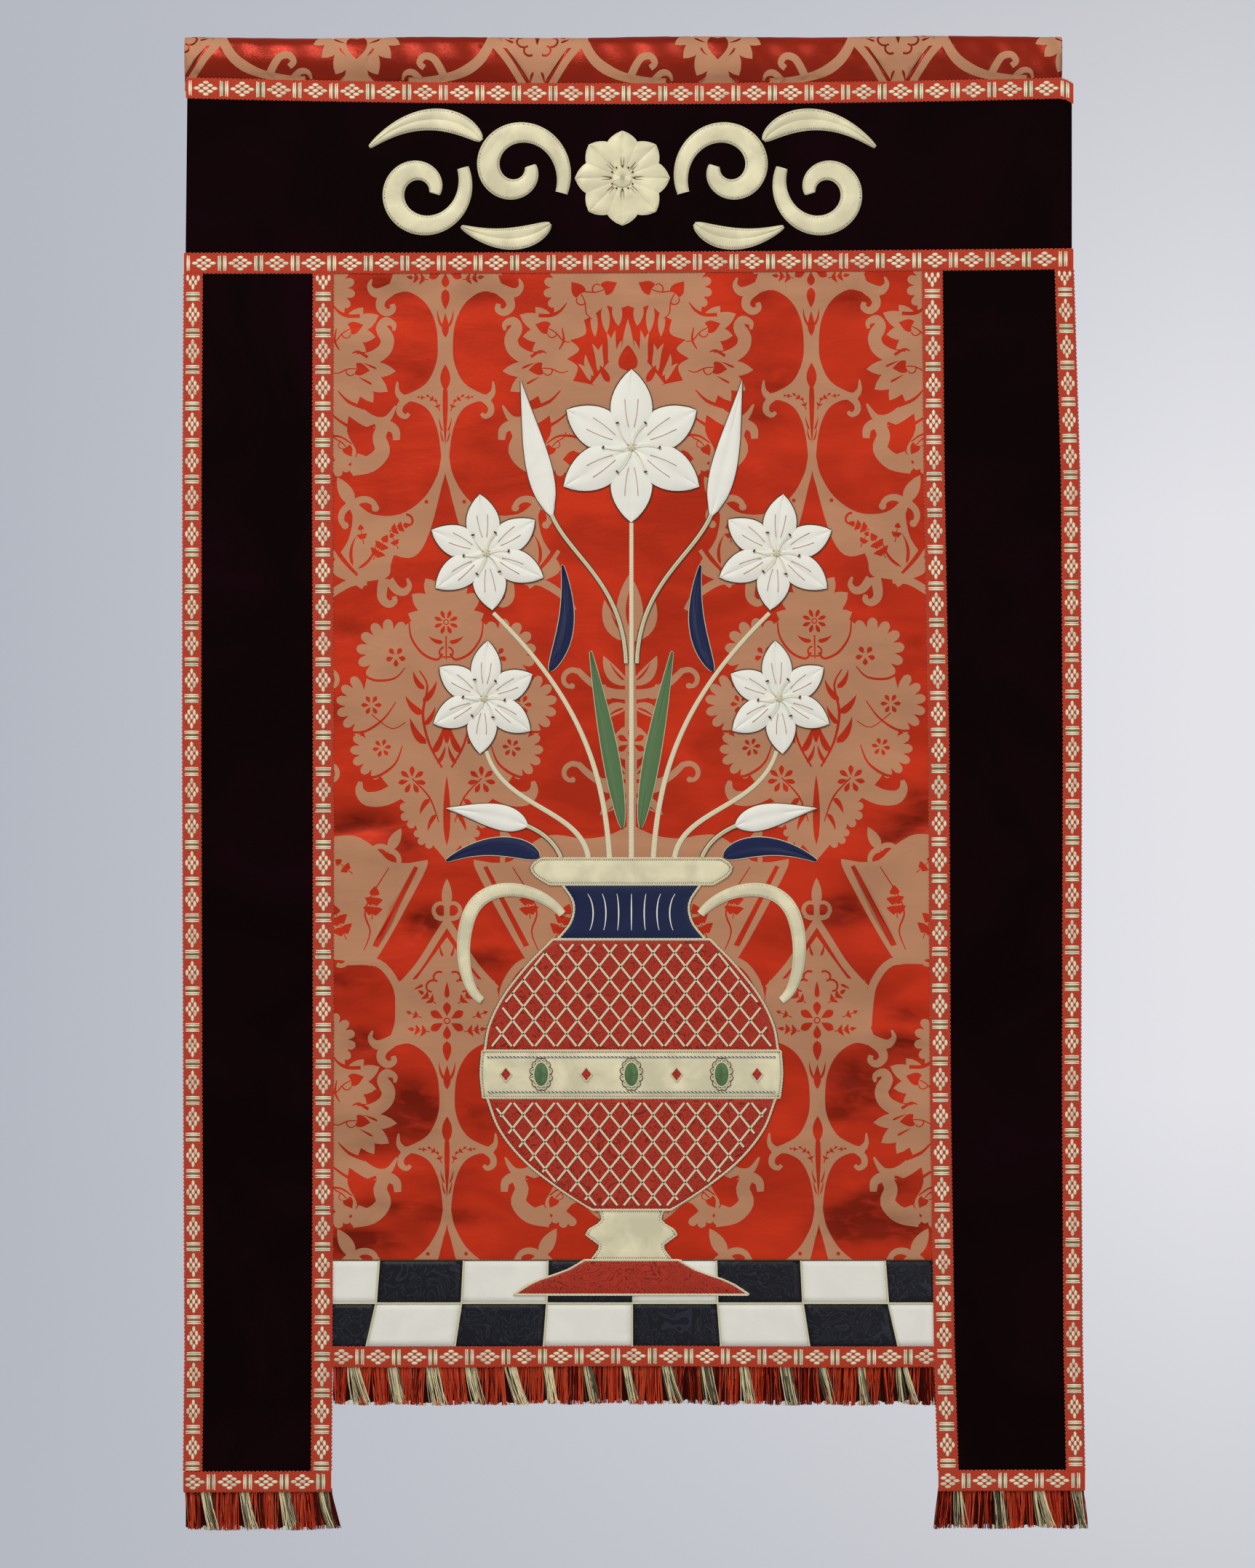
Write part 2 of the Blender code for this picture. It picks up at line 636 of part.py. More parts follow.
JEWEL_Z = -1.3240


def vase(gold, brocade, navy, green):
    turned("vase_rim", RIM, VASE_TALL, gold)
    turned("vase_neck", NECK, VASE_TALL, navy)
    turned("vase_shoulder", SHOULDER, VASE_TALL, brocade)
    turned("vase_belly_band", BELLY, VASE_TALL, gold)
    turned("vase_bowl", BOWL, VASE_TALL, brocade)
    turned("vase_knop", KNOP, VASE_TALL, gold)
    turned("vase_foot", FOOT, VASE_TALL, brocade, base=ON_BAND)
    handle = bezier((0.088, -1.120), (0.115, -1.085), (0.190, -1.070), (0.208, -1.125), 8)
    handle += bezier((0.208, -1.125), (0.220, -1.160), (0.214, -1.215), (0.191, -1.230), 6)[1:]
    for side, word in ((-1, "left"), (1, "right")):
        line = mirrored(handle, side)
        width = scroll_width(0.0085)
        ribbon(f"vase_handle_{word}", (AXIS, 0.0), line, width, VASE_TALL, RIDGED, gold)
    on_vase = ON_CLOTH + VASE_TALL + GAP
    for number, x in enumerate(JEWEL_ON_BELLY, 1):
        name, centre = f"jewel_{number}", (AXIS + x, JEWEL_Z)
        flower(name, centre, 0.021, 12, 0.86, 0, (0.62, 1), 0.004, green, base=on_vase, points=2)


LilyRow = namedtuple("LilyRow", "name x z radius turn wide tall")
LILIES = [
    LilyRow("lily_centre", 0.000, -0.525, 0.100, 90, 1.00, 1.00),
    LilyRow("lily_left_high", -0.185, -0.660, 0.080, 96, 1.00, 0.95),
    LilyRow("lily_right_high", 0.185, -0.660, 0.080, 84, 1.00, 0.95),
    LilyRow("lily_left_low", -0.188, -0.845, 0.074, 86, 0.97, 1.00),
    LilyRow("lily_right_low", 0.188, -0.845, 0.074, 94, 0.97, 1.00),
]
LILY_TALL = 0.0045
POT_MOUTH = -1.0475
STEM_HALF = 0.0034
CENTRE_STEM_TOP = -0.6320
BUD_TALL = 0.0034
BUD_STALK = 0.0026
BUD_HALF = 0.0145
LEAF_TALL = 0.0026


def stem_width(t):
    return STEM_HALF - 0.0008 * t


def lilies(ivory, gold, green, navy):
    """Five lilies, with buds and leaves, in pairs either side of an upright stem."""
    for row in LILIES:
        centre, stretch = (AXIS + row.x, row.z), (row.wide, row.tall)
        flower(row.name, centre, row.radius, 6, 0.40, row.turn, stretch, LILY_TALL, ivory)

    high_stem = bezier((0.028, POT_MOUTH), (0.035, -0.930), (0.070, -0.840), (0.173, -0.744), 8)
    low_stem = bezier((0.055, POT_MOUTH), (0.065, -0.985), (0.165, -0.985), (0.183, -0.926), 7)
    high_bud = bezier((0.007, -0.800), (0.010, -0.690), (0.090, -0.660), (0.106, -0.598), 7)
    high_bud += bezier((0.106, -0.598), (0.116, -0.560), (0.128, -0.510), (0.141, -0.440), 6)[1:]
    side_bud = bezier((0.090, POT_MOUTH), (0.105, -1.010), (0.150, -0.995), (0.236, -0.985), 11)
    low_leaf = bezier((0.0115, -1.010), (0.021, -0.940), (0.034, -0.880), (0.052, -0.785), 8)
    high_leaf = bezier((0.104, -0.810), (0.085, -0.775), (0.075, -0.740), (0.088, -0.675), 8)
    side_leaf = bezier((0.118, POT_MOUTH), (0.135, -1.035), (0.180, -1.022), (0.236, -1.052), 8)

    origin = (AXIS, 0.0)
    centre_stem = [(0.0, z) for z in steps(POT_MOUTH, CENTRE_STEM_TOP, 4)]
    ribbon("stem_centre", origin, centre_stem, stem_width, STEM_THICKNESS, FLAT, gold)
    for side, word in ((-1, "left"), (1, "right")):
        for place, line in (("high", high_stem), ("low", low_stem)):
            name = f"stem_{word}_{place}"
            ribbon(name, origin, mirrored(line, side), stem_width, STEM_THICKNESS, FLAT, gold)
        for place, line, swell in (("high", high_bud, 0.50), ("side", side_bud, 0.48)):
            width = bud_width(BUD_STALK, BUD_HALF, swell)
            name = f"bud_{word}_{place}"
            ribbon(name, origin, mirrored(line, side), width, BUD_TALL, RIDGED, ivory)
        leaves = (
            ("low", low_leaf, 0.0105, green),
            ("high", high_leaf, 0.0105, navy),
            ("side", side_leaf, 0.0125, navy),
        )
        for place, line, widest, look in leaves:
            name = f"leaf_{word}_{place}"
            ribbon(name, origin, mirrored(line, side), leaf_width(widest), LEAF_TALL, RIDGED, look)


def main():
    for item in list(bpy.data.objects):
        bpy.data.objects.remove(item)
    bpy.context.scene.collection.children.link(PIECES)
    damask = material("vermilion_damask", (0.50, 0.06, 0.03), 0.45)
    velvet = material("black_velvet", (0.008, 0.002, 0.004), 0.9)
    braid = material("woven_braid", (0.55, 0.20, 0.12), 0.6)
    yarn = material("fringe_yarn", (0.45, 0.05, 0.03), 0.4)
    chequer = material("chequer_silk", (0.45, 0.43, 0.36), 0.5)
    gold = material("gold_cream_silk", (0.80, 0.72, 0.42), 0.4)
    ivory = material("ivory_silk", (0.85, 0.83, 0.74), 0.55)
    brocade = material("red_brocade", (0.38, 0.03, 0.02), 0.5)
    navy = material("navy_silk", (0.01, 0.02, 0.08), 0.5)
    green = material("green_satin", (0.12, 0.22, 0.10), 0.4)
    pole_sleeve(damask)
    panels(velvet, damask)
    chequer_band(chequer)
    braids(braid)
    fringes(yarn)
    heading_scrollwork(gold)
    vase(gold, brocade, navy, green)
    lilies(ivory, gold, green, navy)


main()
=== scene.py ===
"""The looks of a hanging church banner: damask, velvet, braid, fringe and padded applique.

The front faces -Y, +X runs to the right and +Z up, in metres. Flat coordinates of a mesh
(its UV map) are in metres too, along and across each strip.
"""
import math
import random
from collections import namedtuple

import bpy
import numpy as np
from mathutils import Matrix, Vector
from mathutils.geometry import delaunay_2d_cdt


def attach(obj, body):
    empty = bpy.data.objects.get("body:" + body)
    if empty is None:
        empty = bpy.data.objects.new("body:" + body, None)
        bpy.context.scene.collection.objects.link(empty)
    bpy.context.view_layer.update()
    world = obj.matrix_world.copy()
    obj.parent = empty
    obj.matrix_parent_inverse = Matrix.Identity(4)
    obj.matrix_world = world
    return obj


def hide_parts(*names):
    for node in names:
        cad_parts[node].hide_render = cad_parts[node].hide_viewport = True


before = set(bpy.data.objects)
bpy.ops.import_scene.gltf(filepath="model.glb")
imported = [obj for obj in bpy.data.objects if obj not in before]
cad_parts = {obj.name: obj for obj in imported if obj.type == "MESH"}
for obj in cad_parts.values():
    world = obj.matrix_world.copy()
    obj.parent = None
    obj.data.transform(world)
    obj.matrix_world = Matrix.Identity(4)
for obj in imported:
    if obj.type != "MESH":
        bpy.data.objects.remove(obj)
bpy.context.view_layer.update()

# Thicknesses and widths, as in the solids
GAP = 0.0003
CLOTH = 0.002
BRAID = 0.0015
BRAID_WIDTH = 0.0255
EDGE_BRAID_WIDTH = 0.0215
BAND = 0.001
ON_CLOTH = CLOTH / 2 + GAP
ON_BAND = ON_CLOTH + BAND + GAP
VISIBLE_CLOTH = 0.0018

# Level lines, as heights below the top edge
HEADING_TOP = -0.0536
HEADING_TOP_SAG = 0.0074
HEADING_FOOT = -0.2889
HEADING_FOOT_TILT = 0.0028
HEADING_FOOT_BOW = 0.0017
HALF_WIDTH = 0.565
CORNER_START = 0.5480
CORNER_DROP = 0.0060
CENTRE_FOOT = -1.6840
LAPPET_FOOT = -1.8430
HEM_BELOW_BRAID_MIDDLE = 0.0035
BAND_TOP = -1.5605

HangLine = namedtuple("HangLine", "z left_edge left_inner right_inner right_edge")
HANG_LINES = [
    HangLine(-0.050, -0.5620, -0.3755, 0.3745, 0.5655),
    HangLine(-0.290, -0.5645, -0.3760, 0.3745, 0.5655),
    HangLine(-0.554, -0.5660, -0.3770, 0.3770, 0.5735),
    HangLine(-0.900, -0.5665, -0.3760, 0.3830, 0.5760),
    HangLine(-1.350, -0.5650, -0.3760, 0.3850, 0.5750),
    HangLine(-1.672, -0.5635, -0.3775, 0.3900, 0.5770),
    HangLine(-1.900, -0.5660, -0.3790, 0.3970, 0.5815),
]

# Soft troughs (depth above 0) and ridges (below 0) that run across the damask
Ripple = namedtuple("Ripple", "x z length height depth tilt")
RIPPLES = [
    Ripple(-0.335, -0.345, 0.040, 0.020, 0.0014, -8),
    Ripple(0.300, -0.350, 0.045, 0.020, 0.0016, 5),
    Ripple(-0.338, -0.700, 0.050, 0.024, -0.0016, 10),
    Ripple(0.345, -0.760, 0.045, 0.024, 0.0018, -12),
    Ripple(-0.339, -1.004, 0.060, 0.020, 0.0042, 6),
    Ripple(-0.290, -1.046, 0.040, 0.018, -0.0030, -10),
    Ripple(-0.330, -1.131, 0.070, 0.022, 0.0036, -8),
    Ripple(-0.340, -1.190, 0.055, 0.020, -0.0034, 4),
    Ripple(-0.300, -1.262, 0.060, 0.022, 0.0032, 12),
    Ripple(-0.345, -1.370, 0.060, 0.024, -0.0036, -6),
    Ripple(-0.310, -1.430, 0.055, 0.020, 0.0038, 8),
    Ripple(-0.335, -1.500, 0.060, 0.018, -0.0030, -5),
    Ripple(0.355, -1.008, 0.050, 0.020, 0.0042, 10),
    Ripple(0.300, -1.050, 0.045, 0.020, -0.0028, -6),
    Ripple(0.300, -1.123, 0.070, 0.022, 0.0044, 4),
    Ripple(0.345, -1.180, 0.050, 0.018, -0.0032, 8),
    Ripple(0.340, -1.245, 0.060, 0.022, 0.0034, -10),
    Ripple(0.305, -1.350, 0.055, 0.022, -0.0034, 6),
    Ripple(0.345, -1.412, 0.060, 0.020, 0.0038, -8),
    Ripple(0.320, -1.488, 0.060, 0.018, -0.0030, 5),
]
# Short creases that show in the visible cloth alone; the same rows, widened, also give where shade is
# painted into the damask's colour
CREASES = [
    Ripple(-0.345, -1.007, 0.034, 0.011, 0.0040, 4),
    Ripple(-0.283, -1.033, 0.018, 0.010, 0.0026, -20),
    Ripple(-0.259, -1.129, 0.018, 0.014, 0.0040, 0),
    Ripple(-0.181, -1.178, 0.022, 0.009, 0.0030, 0),
    Ripple(-0.357, -1.203, 0.024, 0.010, 0.0028, 8),
    Ripple(-0.340, -1.285, 0.022, 0.012, 0.0036, -6),
    Ripple(-0.280, -1.368, 0.034, 0.022, 0.0048, -20),
    Ripple(-0.187, -1.378, 0.018, 0.016, 0.0020, 0),
    Ripple(-0.330, -1.420, 0.026, 0.010, 0.0022, 6),
    Ripple(-0.324, -1.494, 0.048, 0.008, 0.0028, 2),
    Ripple(-0.225, -1.505, 0.036, 0.008, 0.0026, -4),
    Ripple(-0.348, -1.538, 0.038, 0.011, 0.0048, 4),
    Ripple(-0.302, -0.318, 0.026, 0.009, 0.0036, 0),
    Ripple(-0.187, -0.322, 0.030, 0.012, 0.0032, 0),
    Ripple(-0.263, -0.441, 0.018, 0.018, 0.0018, 0),
    Ripple(-0.364, -0.758, 0.024, 0.012, 0.0017, 0),
    Ripple(-0.364, -0.868, 0.024, 0.012, 0.0017, 0),
    Ripple(0.356, -1.010, 0.034, 0.012, 0.0042, 20),
    Ripple(0.369, -0.972, 0.018, 0.008, 0.0026, 0),
    Ripple(0.272, -1.117, 0.026, 0.013, 0.0042, 6),
    Ripple(0.352, -1.247, 0.022, 0.010, 0.0022, 0),
    Ripple(0.345, -1.287, 0.027, 0.009, 0.0042, -4),
    Ripple(0.297, -1.334, 0.030, 0.018, 0.0042, -15),
    Ripple(0.262, -1.376, 0.032, 0.012, 0.0026, 10),
    Ripple(0.304, -1.486, 0.044, 0.010, 0.0040, 20),
    Ripple(0.341, -1.520, 0.046, 0.012, 0.0044, 2),
    Ripple(0.262, -1.524, 0.022, 0.014, 0.0026, 0),
    Ripple(0.190, -0.436, 0.028, 0.018, 0.0022, 0),
    Ripple(0.167, -0.486, 0.022, 0.008, 0.0020, 0),
    Ripple(0.288, -0.334, 0.020, 0.014, 0.0026, 0),
    Ripple(0.163, -0.329, 0.022, 0.014, 0.0020, 0),
    Ripple(0.360, -0.866, 0.024, 0.014, 0.0020, 0),
    Ripple(0.362, -0.774, 0.024, 0.010, 0.0016, 0),
]
DEEPEST_CREASE = 0.0044
# The creases widened, for the shade painted into the damask's colour
CREASE_SHADES = [row._replace(length=1.4 * row.length, height=1.5 * row.height) for row in CREASES]
RIPPLE_REACH = 5.0
FLAT_HALF_WIDTH = 0.228
RIPPLED_HALF_WIDTH = 0.285
RIPPLES_START = -0.318
RIPPLES_END = -1.545
LAPPET_FOLD = 0.0024
LAPPET_SEAM = 0.389
LAPPET_WIDTH = 0.178
LAPPET_WAVE = 0.95
LAPPET_FOLD_START = -0.330

# The lily pot stands on the middle of the centre panel
AXIS = 0.004


def blend(low, high, value):
    """0 up to low and 1 from high on, with a smooth step between."""
    share = min(max((value - low) / (high - low), 0.0), 1.0)
    return share * share * (3 - 2 * share)


def hang(line, z):
    """How far across one of the hang lines is at a height."""
    for upper, lower in zip(HANG_LINES, HANG_LINES[1:]):
        if z >= lower.z or lower is HANG_LINES[-1]:
            share = (upper.z - z) / (upper.z - lower.z)
            return getattr(upper, line) + share * (getattr(lower, line) - getattr(upper, line))


def ends(first, last, z, beyond=(0.0, 0.0)):
    """Where two hang lines are at a height, or how far past them to the left and right."""
    return hang(first, z) - beyond[0], hang(last, z) + beyond[1]


def hollow(ripple, x, z):
    """How near a place is to the middle of a ripple, which is 1 there and 0 far off."""
    if abs(x - ripple.x) + abs(z - ripple.z) > RIPPLE_REACH * ripple.length:
        return 0.0
    turn = math.radians(ripple.tilt)
    along = (x - ripple.x) * math.cos(turn) + (z - ripple.z) * math.sin(turn)
    across = (z - ripple.z) * math.cos(turn) - (x - ripple.x) * math.sin(turn)
    return math.exp(-(along / ripple.length) ** 2 - (across / ripple.height) ** 2)


def crease_shade(x, z):
    """How much painted shade the creases put on a place."""
    return min(sum(row.depth / DEEPEST_CREASE * hollow(row, x, z) for row in CREASE_SHADES), 1.2)


def drape(x, z):
    """How far back of the plane Y = 0 the middle of the cloth hangs."""
    share = blend(FLAT_HALF_WIDTH, RIPPLED_HALF_WIDTH, abs(x))
    share *= blend(0.0, 0.03, RIPPLES_START - z) * blend(0.0, 0.03, z - RIPPLES_END)
    depth = 0.0
    if share > 0:
        depth = share * sum(ripple.depth * hollow(ripple, x, z) for ripple in RIPPLES + CREASES)
    beyond = (abs(x) - LAPPET_SEAM) / LAPPET_WIDTH
    if beyond > 0:
        wave = math.sin(2 * math.pi * (z - math.copysign(0.1, x)) / LAPPET_WAVE)
        fold = math.sin(math.pi * min(beyond, 1.0))
        depth += LAPPET_FOLD * wave * fold * blend(0.0, 0.25, LAPPET_FOLD_START - z)
    return depth


def heading_top(x):
    sag = HEADING_TOP_SAG * (1 - (x / HALF_WIDTH) ** 2)
    past = max(x - CORNER_START, 0.0) / (HALF_WIDTH - CORNER_START)
    return HEADING_TOP - sag - CORNER_DROP * past * past


def heading_foot(x):
    share = x / HALF_WIDTH
    return HEADING_FOOT + HEADING_FOOT_TILT * share + HEADING_FOOT_BOW * share * share


def lappet_foot(x):
    return LAPPET_FOOT - 0.0012 * math.sin(9.0 * x)


def centre_foot(x):
    return CENTRE_FOOT + 0.0008 * math.cos(12.0 * x)


def steps(first, last, count):
    return [first + (last - first) * i / count for i in range(count + 1)]


# Materials

RED = (0.560, 0.034, 0.010)
FAWN = (0.500, 0.245, 0.135)
VELVET = (0.0050, 0.0012, 0.0014)
BRAID_RED = (0.600, 0.052, 0.018)
CREAM = (0.880, 0.820, 0.580)
GOLD_CREAM = (0.880, 0.815, 0.550)
OLIVE = (0.230, 0.160, 0.060)
IVORY = (0.900, 0.890, 0.800)
BROCADE = (0.460, 0.033, 0.014)
NAVY = (0.0090, 0.0160, 0.0650)
GREEN = (0.120, 0.235, 0.095)
PATCH_BLACK = (0.0070, 0.0075, 0.0120)
BROWN = (0.110, 0.050, 0.018)
FRINGE_RED = (0.480, 0.026, 0.010)
# A lighter red for the painted highlights of the fringe
FRINGE_RED_HIGHLIGHT = (0.720, 0.085, 0.030)
FRINGE_GOLD = (0.700, 0.610, 0.360)


class Look:
    """A material put together node by node."""

    def __init__(self, name, colour, roughness, **sockets):
        self.material = bpy.data.materials.new(name)
        self.material.use_nodes = True
        self.tree = self.material.node_tree
        self.shader = self.tree.nodes["Principled BSDF"]
        self.set("Base Color", (*colour, 1.0))
        self.set("Roughness", roughness)
        self.set("Specular IOR Level", 0.22)
        self.set("Sheen Tint", (*lighter(colour, 0.12, 1.5), 1.0))
        for socket, value in sockets.items():
            self.set(socket.replace("_", " "), value)

    def set(self, socket, value):
        self.put(self.shader, socket, value)

    def put(self, node, socket, value):
        if isinstance(value, bpy.types.NodeSocket):
            self.tree.links.new(value, node.inputs[socket])
        else:
            node.inputs[socket].default_value = value

    def add(self, kind, sockets=(), **settings):
        node = self.tree.nodes.new("ShaderNode" + kind)
        for setting, value in settings.items():
            setattr(node, setting, value)
        for socket, value in dict(sockets).items():
            self.put(node, socket, value)
        return node

    def place(self, kind="Object", scale=(1, 1, 1), turn=0.0):
        """Object or flat coordinates, stretched and turned."""
        source = self.add("TexCoord").outputs[kind]
        settings = {"Vector": source, "Scale": scale, "Rotation": (0, 0, turn)}
        return self.add("Mapping", settings).outputs["Vector"]

    def noise(self, place, scale, detail=3.0, distortion=0.0):
        settings = {"Vector": place, "Scale": scale, "Detail": detail, "Distortion": distortion}
        return self.add("TexNoise", settings).outputs["Fac"]

    def wave(self, place, pitch, direction="X", distortion=0.0, profile="SIN"):
        """Even ridges, a pitch apart; a band texture of scale 1 repeats about three times a metre."""
        settings = {"Vector": place, "Scale": math.pi / (10 * pitch), "Distortion": distortion}
        settings["Detail"] = 1.0
        return self.add("TexWave", settings, bands_direction=direction, wave_profile=profile).outputs["Fac"]

    def math(self, operation, first, second=0.0):
        return self.add("Math", {0: first, 1: second}, operation=operation).outputs[0]

    def steep(self, value, low, high):
        settings = {"Value": value, "From Min": low, "From Max": high}
        return self.add("MapRange", settings).outputs["Result"]

    def mix(self, share, first, second, kind="MIX"):
        node = self.add("Mix", data_type="RGBA", blend_type=kind)
        self.put(node, 0, share)
        for socket, value in ((6, first), (7, second)):
            self.put(node, socket, (*value, 1.0) if isinstance(value, tuple) else value)
        return node.outputs[2]

    def bump(self, height, distance, strength=1.0, under=None):
        settings = {"Height": height, "Distance": distance, "Strength": strength}
        node = self.add("Bump", settings)
        if under is not None:
            self.put(node, "Normal", under)
        return node.outputs["Normal"]


def darker(colour, share):
    return tuple(share * part for part in colour)


def lighter(colour, base, gain):
    """The colour raised towards white, with no part above 1."""
    return tuple(min(1.0, base + gain * part) for part in colour)


def damask_look(name, colour, roughness, gloss, deep, ior=1.9):
    """Satin with a fine thread, random patches of painted shade and sheen, painted crease shade and a
    coloured shine.
    """
    look = Look(name, colour, roughness, Sheen_Weight=0.08, Sheen_Roughness=0.4)
    look.set("IOR", ior)
    look.set("Specular IOR Level", gloss)
    look.set("Specular Tint", (*lighter(colour, 0.03, 1.7), 1.0))
    place = look.place()
    # Random soft patches of painted shade and painted sheen: darker by deep, lighter by a tenth
    cloud = look.steep(look.noise(look.place(scale=(0.6, 1, 1.3)), 11.0, 4.0, 0.8), 0.36, 0.66)
    thread = look.noise(look.place(scale=(1, 1, 9)), 420.0, 2.0)
    tone = look.mix(cloud, darker(colour, 1 - 0.38 * deep), darker(colour, 1.10))
    tone = look.mix(look.math("MULTIPLY", thread, 0.30), tone, darker(colour, 0.70))
    # Painted shade in the creases: the crease attribute, with torn edges, darkens the cloth by deep
    torn = look.noise(look.place(scale=(0.5, 1, 1.2)), 55.0, 3.0, 0.5)
    shade = look.add("Attribute", attribute_name="crease").outputs["Fac"]
    shade = look.math("MULTIPLY", shade, look.steep(torn, 0.10, 0.62))
    tone = look.mix(look.math("MULTIPLY", look.steep(shade, 0.04, 0.62), deep), tone, darker(colour, 0.17))
    look.set("Base Color", tone)
    weft = look.wave(place, 0.0009, "Z", 0.6)
    fine = look.bump(weft, 0.00010, 0.5)
    fine = look.bump(thread, 0.0002, 0.4, fine)
    crushed = look.noise(look.place(scale=(0.45, 1, 1)), 30.0, 3.0, 0.6)
    look.set("Normal", look.bump(crushed, 0.0016, 0.8, fine))
    return look.material


def velvet_look():
    look = Look("velvet", VELVET, 0.95, Sheen_Weight=0.10, Sheen_Roughness=0.35)
    look.set("Sheen Tint", (0.30, 0.05, 0.09, 1.0))
    look.set("Specular IOR Level", 0.04)
    place = look.place()
    # Soft maroon patches of painted sheen on the black pile
    painted_sheen_patches = look.steep(look.noise(place, 5.0, 4.0, 1.2), 0.42, 0.72)
    grain = look.noise(place, 900.0, 2.0)
    tone = look.mix(painted_sheen_patches, VELVET, (0.0100, 0.0014, 0.0036))
    tone = look.mix(look.math("MULTIPLY", grain, 0.5), tone, (0.0012, 0.0003, 0.0005))
    look.set("Base Color", tone)
    pile = look.bump(grain, 0.0005, 0.7)
    look.set("Normal", look.bump(look.noise(place, 30.0, 3.0), 0.0012, 0.5, pile))
    return look.material


def lining_look():
    """The plain woven back of the velvet."""
    look = Look("velvet_back", (0.018, 0.009, 0.010), 0.85, Sheen_Weight=0.1, Sheen_Roughness=0.5)
    place = look.place()
    warp = look.wave(place, 0.0007, "X", 0.5)
    weft = look.wave(place, 0.0007, "Z", 0.5)
    weave = look.math("MULTIPLY", warp, weft)
    cloud = look.noise(place, 14.0, 3.0)
    tone = look.mix(look.steep(weave, 0.0, 0.8), (0.008, 0.004, 0.005), (0.026, 0.014, 0.015))
    look.set("Base Color", look.mix(look.math("MULTIPLY", cloud, 0.4), tone, (0.012, 0.006, 0.008)))
    look.set("Normal", look.bump(weave, 0.0002, 0.6))
    return look.material


def braid_look(name, colour, deep):
    """Ribbed weaving, whose ribs lie across the braid."""
    look = Look(name, colour, 0.62, Sheen_Weight=0.25, Sheen_Roughness=0.5)
    place = look.place("UV")
    ribs = look.wave(place, 0.00125, "X", 0.8)
    thread = look.noise(look.place("UV", scale=(1, 0.3, 1)), 1500.0, 2.0)
    tone = look.mix(look.steep(ribs, 0.1, 0.7), deep, colour)
    tone = look.mix(look.math("MULTIPLY", thread, 0.4), tone, darker(colour, 1.35))
    look.set("Base Color", tone)
    look.set("Normal", look.bump(ribs, 0.0004, 0.8, look.bump(thread, 0.0002, 0.5)))
    return look.material


def thread_look(name, colour, roughness=0.5, sheen=0.2, pitch=0.0010, depth=0.6):
    """Silk or cord with fine threads across the strip."""
    look = Look(name, colour, roughness, Sheen_Weight=sheen, Sheen_Roughness=0.4)
    place = look.place("UV")
    lines = look.wave(place, pitch, "X", 1.2)
    cloud = look.noise(look.place(), 38.0, 3.0)
    tone = look.mix(look.steep(lines, 0.0, 0.6), darker(colour, 0.66), colour)
    tone = look.mix(look.math("MULTIPLY", cloud, 0.35), tone, darker(colour, 0.80))
    look.set("Base Color", tone)
    look.set("Normal", look.bump(lines, 0.0003, depth))
    return look.material


def silk_look(name, colour, roughness=0.45, depth=0.5, shade=0.84):
    """Smooth silk that lies over padding, with a thread that just shows."""
    look = Look(name, colour, roughness, Sheen_Weight=0.2, Sheen_Roughness=0.4)
    place = look.place()
    cloud = look.steep(look.noise(place, 24.0, 4.0, 0.5), 0.38, 0.66)
    thread = look.noise(look.place(scale=(1, 1, 5)), 520.0, 2.0)
    tone = look.mix(cloud, darker(colour, shade), colour)
    tone = look.mix(look.math("MULTIPLY", thread, 0.25), tone, darker(colour, 0.78))
    look.set("Base Color", tone)
    fine = look.bump(thread, 0.0002, 0.5)
    look.set("Normal", look.bump(look.noise(place, 60.0, 3.0), 0.0008, depth, fine))
    return look.material


def brocade_look(name, colour, figure, roughness=0.5, scale=34.0):
    """Cloth with a tone-on-tone figure of curling lines."""
    look = Look(name, colour, roughness, Sheen_Weight=0.25, Sheen_Roughness=0.4)
    place = look.place()
    warp = look.add("TexNoise", {"Vector": place, "Scale": 15.0, "Detail": 1.0}).outputs["Color"]
    bent = look.add("VectorMath", {0: warp, 1: warp, 2: place}, operation="MULTIPLY_ADD")
    cells = look.add("TexVoronoi", {"Vector": bent.outputs[0], "Scale": scale}, feature="SMOOTH_F1")
    rings = look.math("SINE", look.math("MULTIPLY", cells.outputs["Distance"], 26.0))
    line = look.steep(rings, 0.55, 0.80)
    thread = look.noise(look.place(scale=(1, 1, 6)), 520.0, 2.0)
    tone = look.mix(line, colour, figure)
    tone = look.mix(look.math("MULTIPLY", thread, 0.3), tone, darker(colour, 0.7))
    look.set("Base Color", tone)
    fine = look.bump(thread, 0.0002, 0.5)
    look.set("Normal", look.bump(line, 0.0002, 0.4, fine))
    return look.material


def yarn_look(name, colour):
    """A glossy cut yarn of many fine threads, with painted glints along it and painted shade at its root."""
    look = Look(name, colour, 0.38)
    look.set("Specular Tint", (*lighter(colour, 0.10, 1.5), 1.0))
    look.set("Specular IOR Level", 0.6)
    strand = look.noise(look.place("UV", scale=(0.08, 1, 1)), 900.0, 2.0)
    along = look.add("SeparateXYZ", {0: look.place("UV")}).outputs["X"]
    tone = look.mix(strand, darker(colour, 0.45), darker(colour, 1.25))
    # Painted glints: small light spots along the yarn in place of its shine
    painted_glint = look.steep(look.noise(look.place(scale=(1, 1, 0.10)), 700.0, 2.0), 0.58, 0.70)
    tone = look.mix(look.math("MULTIPLY", painted_glint, 0.40), tone, lighter(colour, 0.04, 2.1))
    tone = look.mix(look.steep(along, 0.001, ROOT_SHADE), darker(colour, 0.25), tone)
    look.set("Base Color", tone)
    look.set("Normal", look.bump(strand, 0.0003, 0.6))
    return look.material


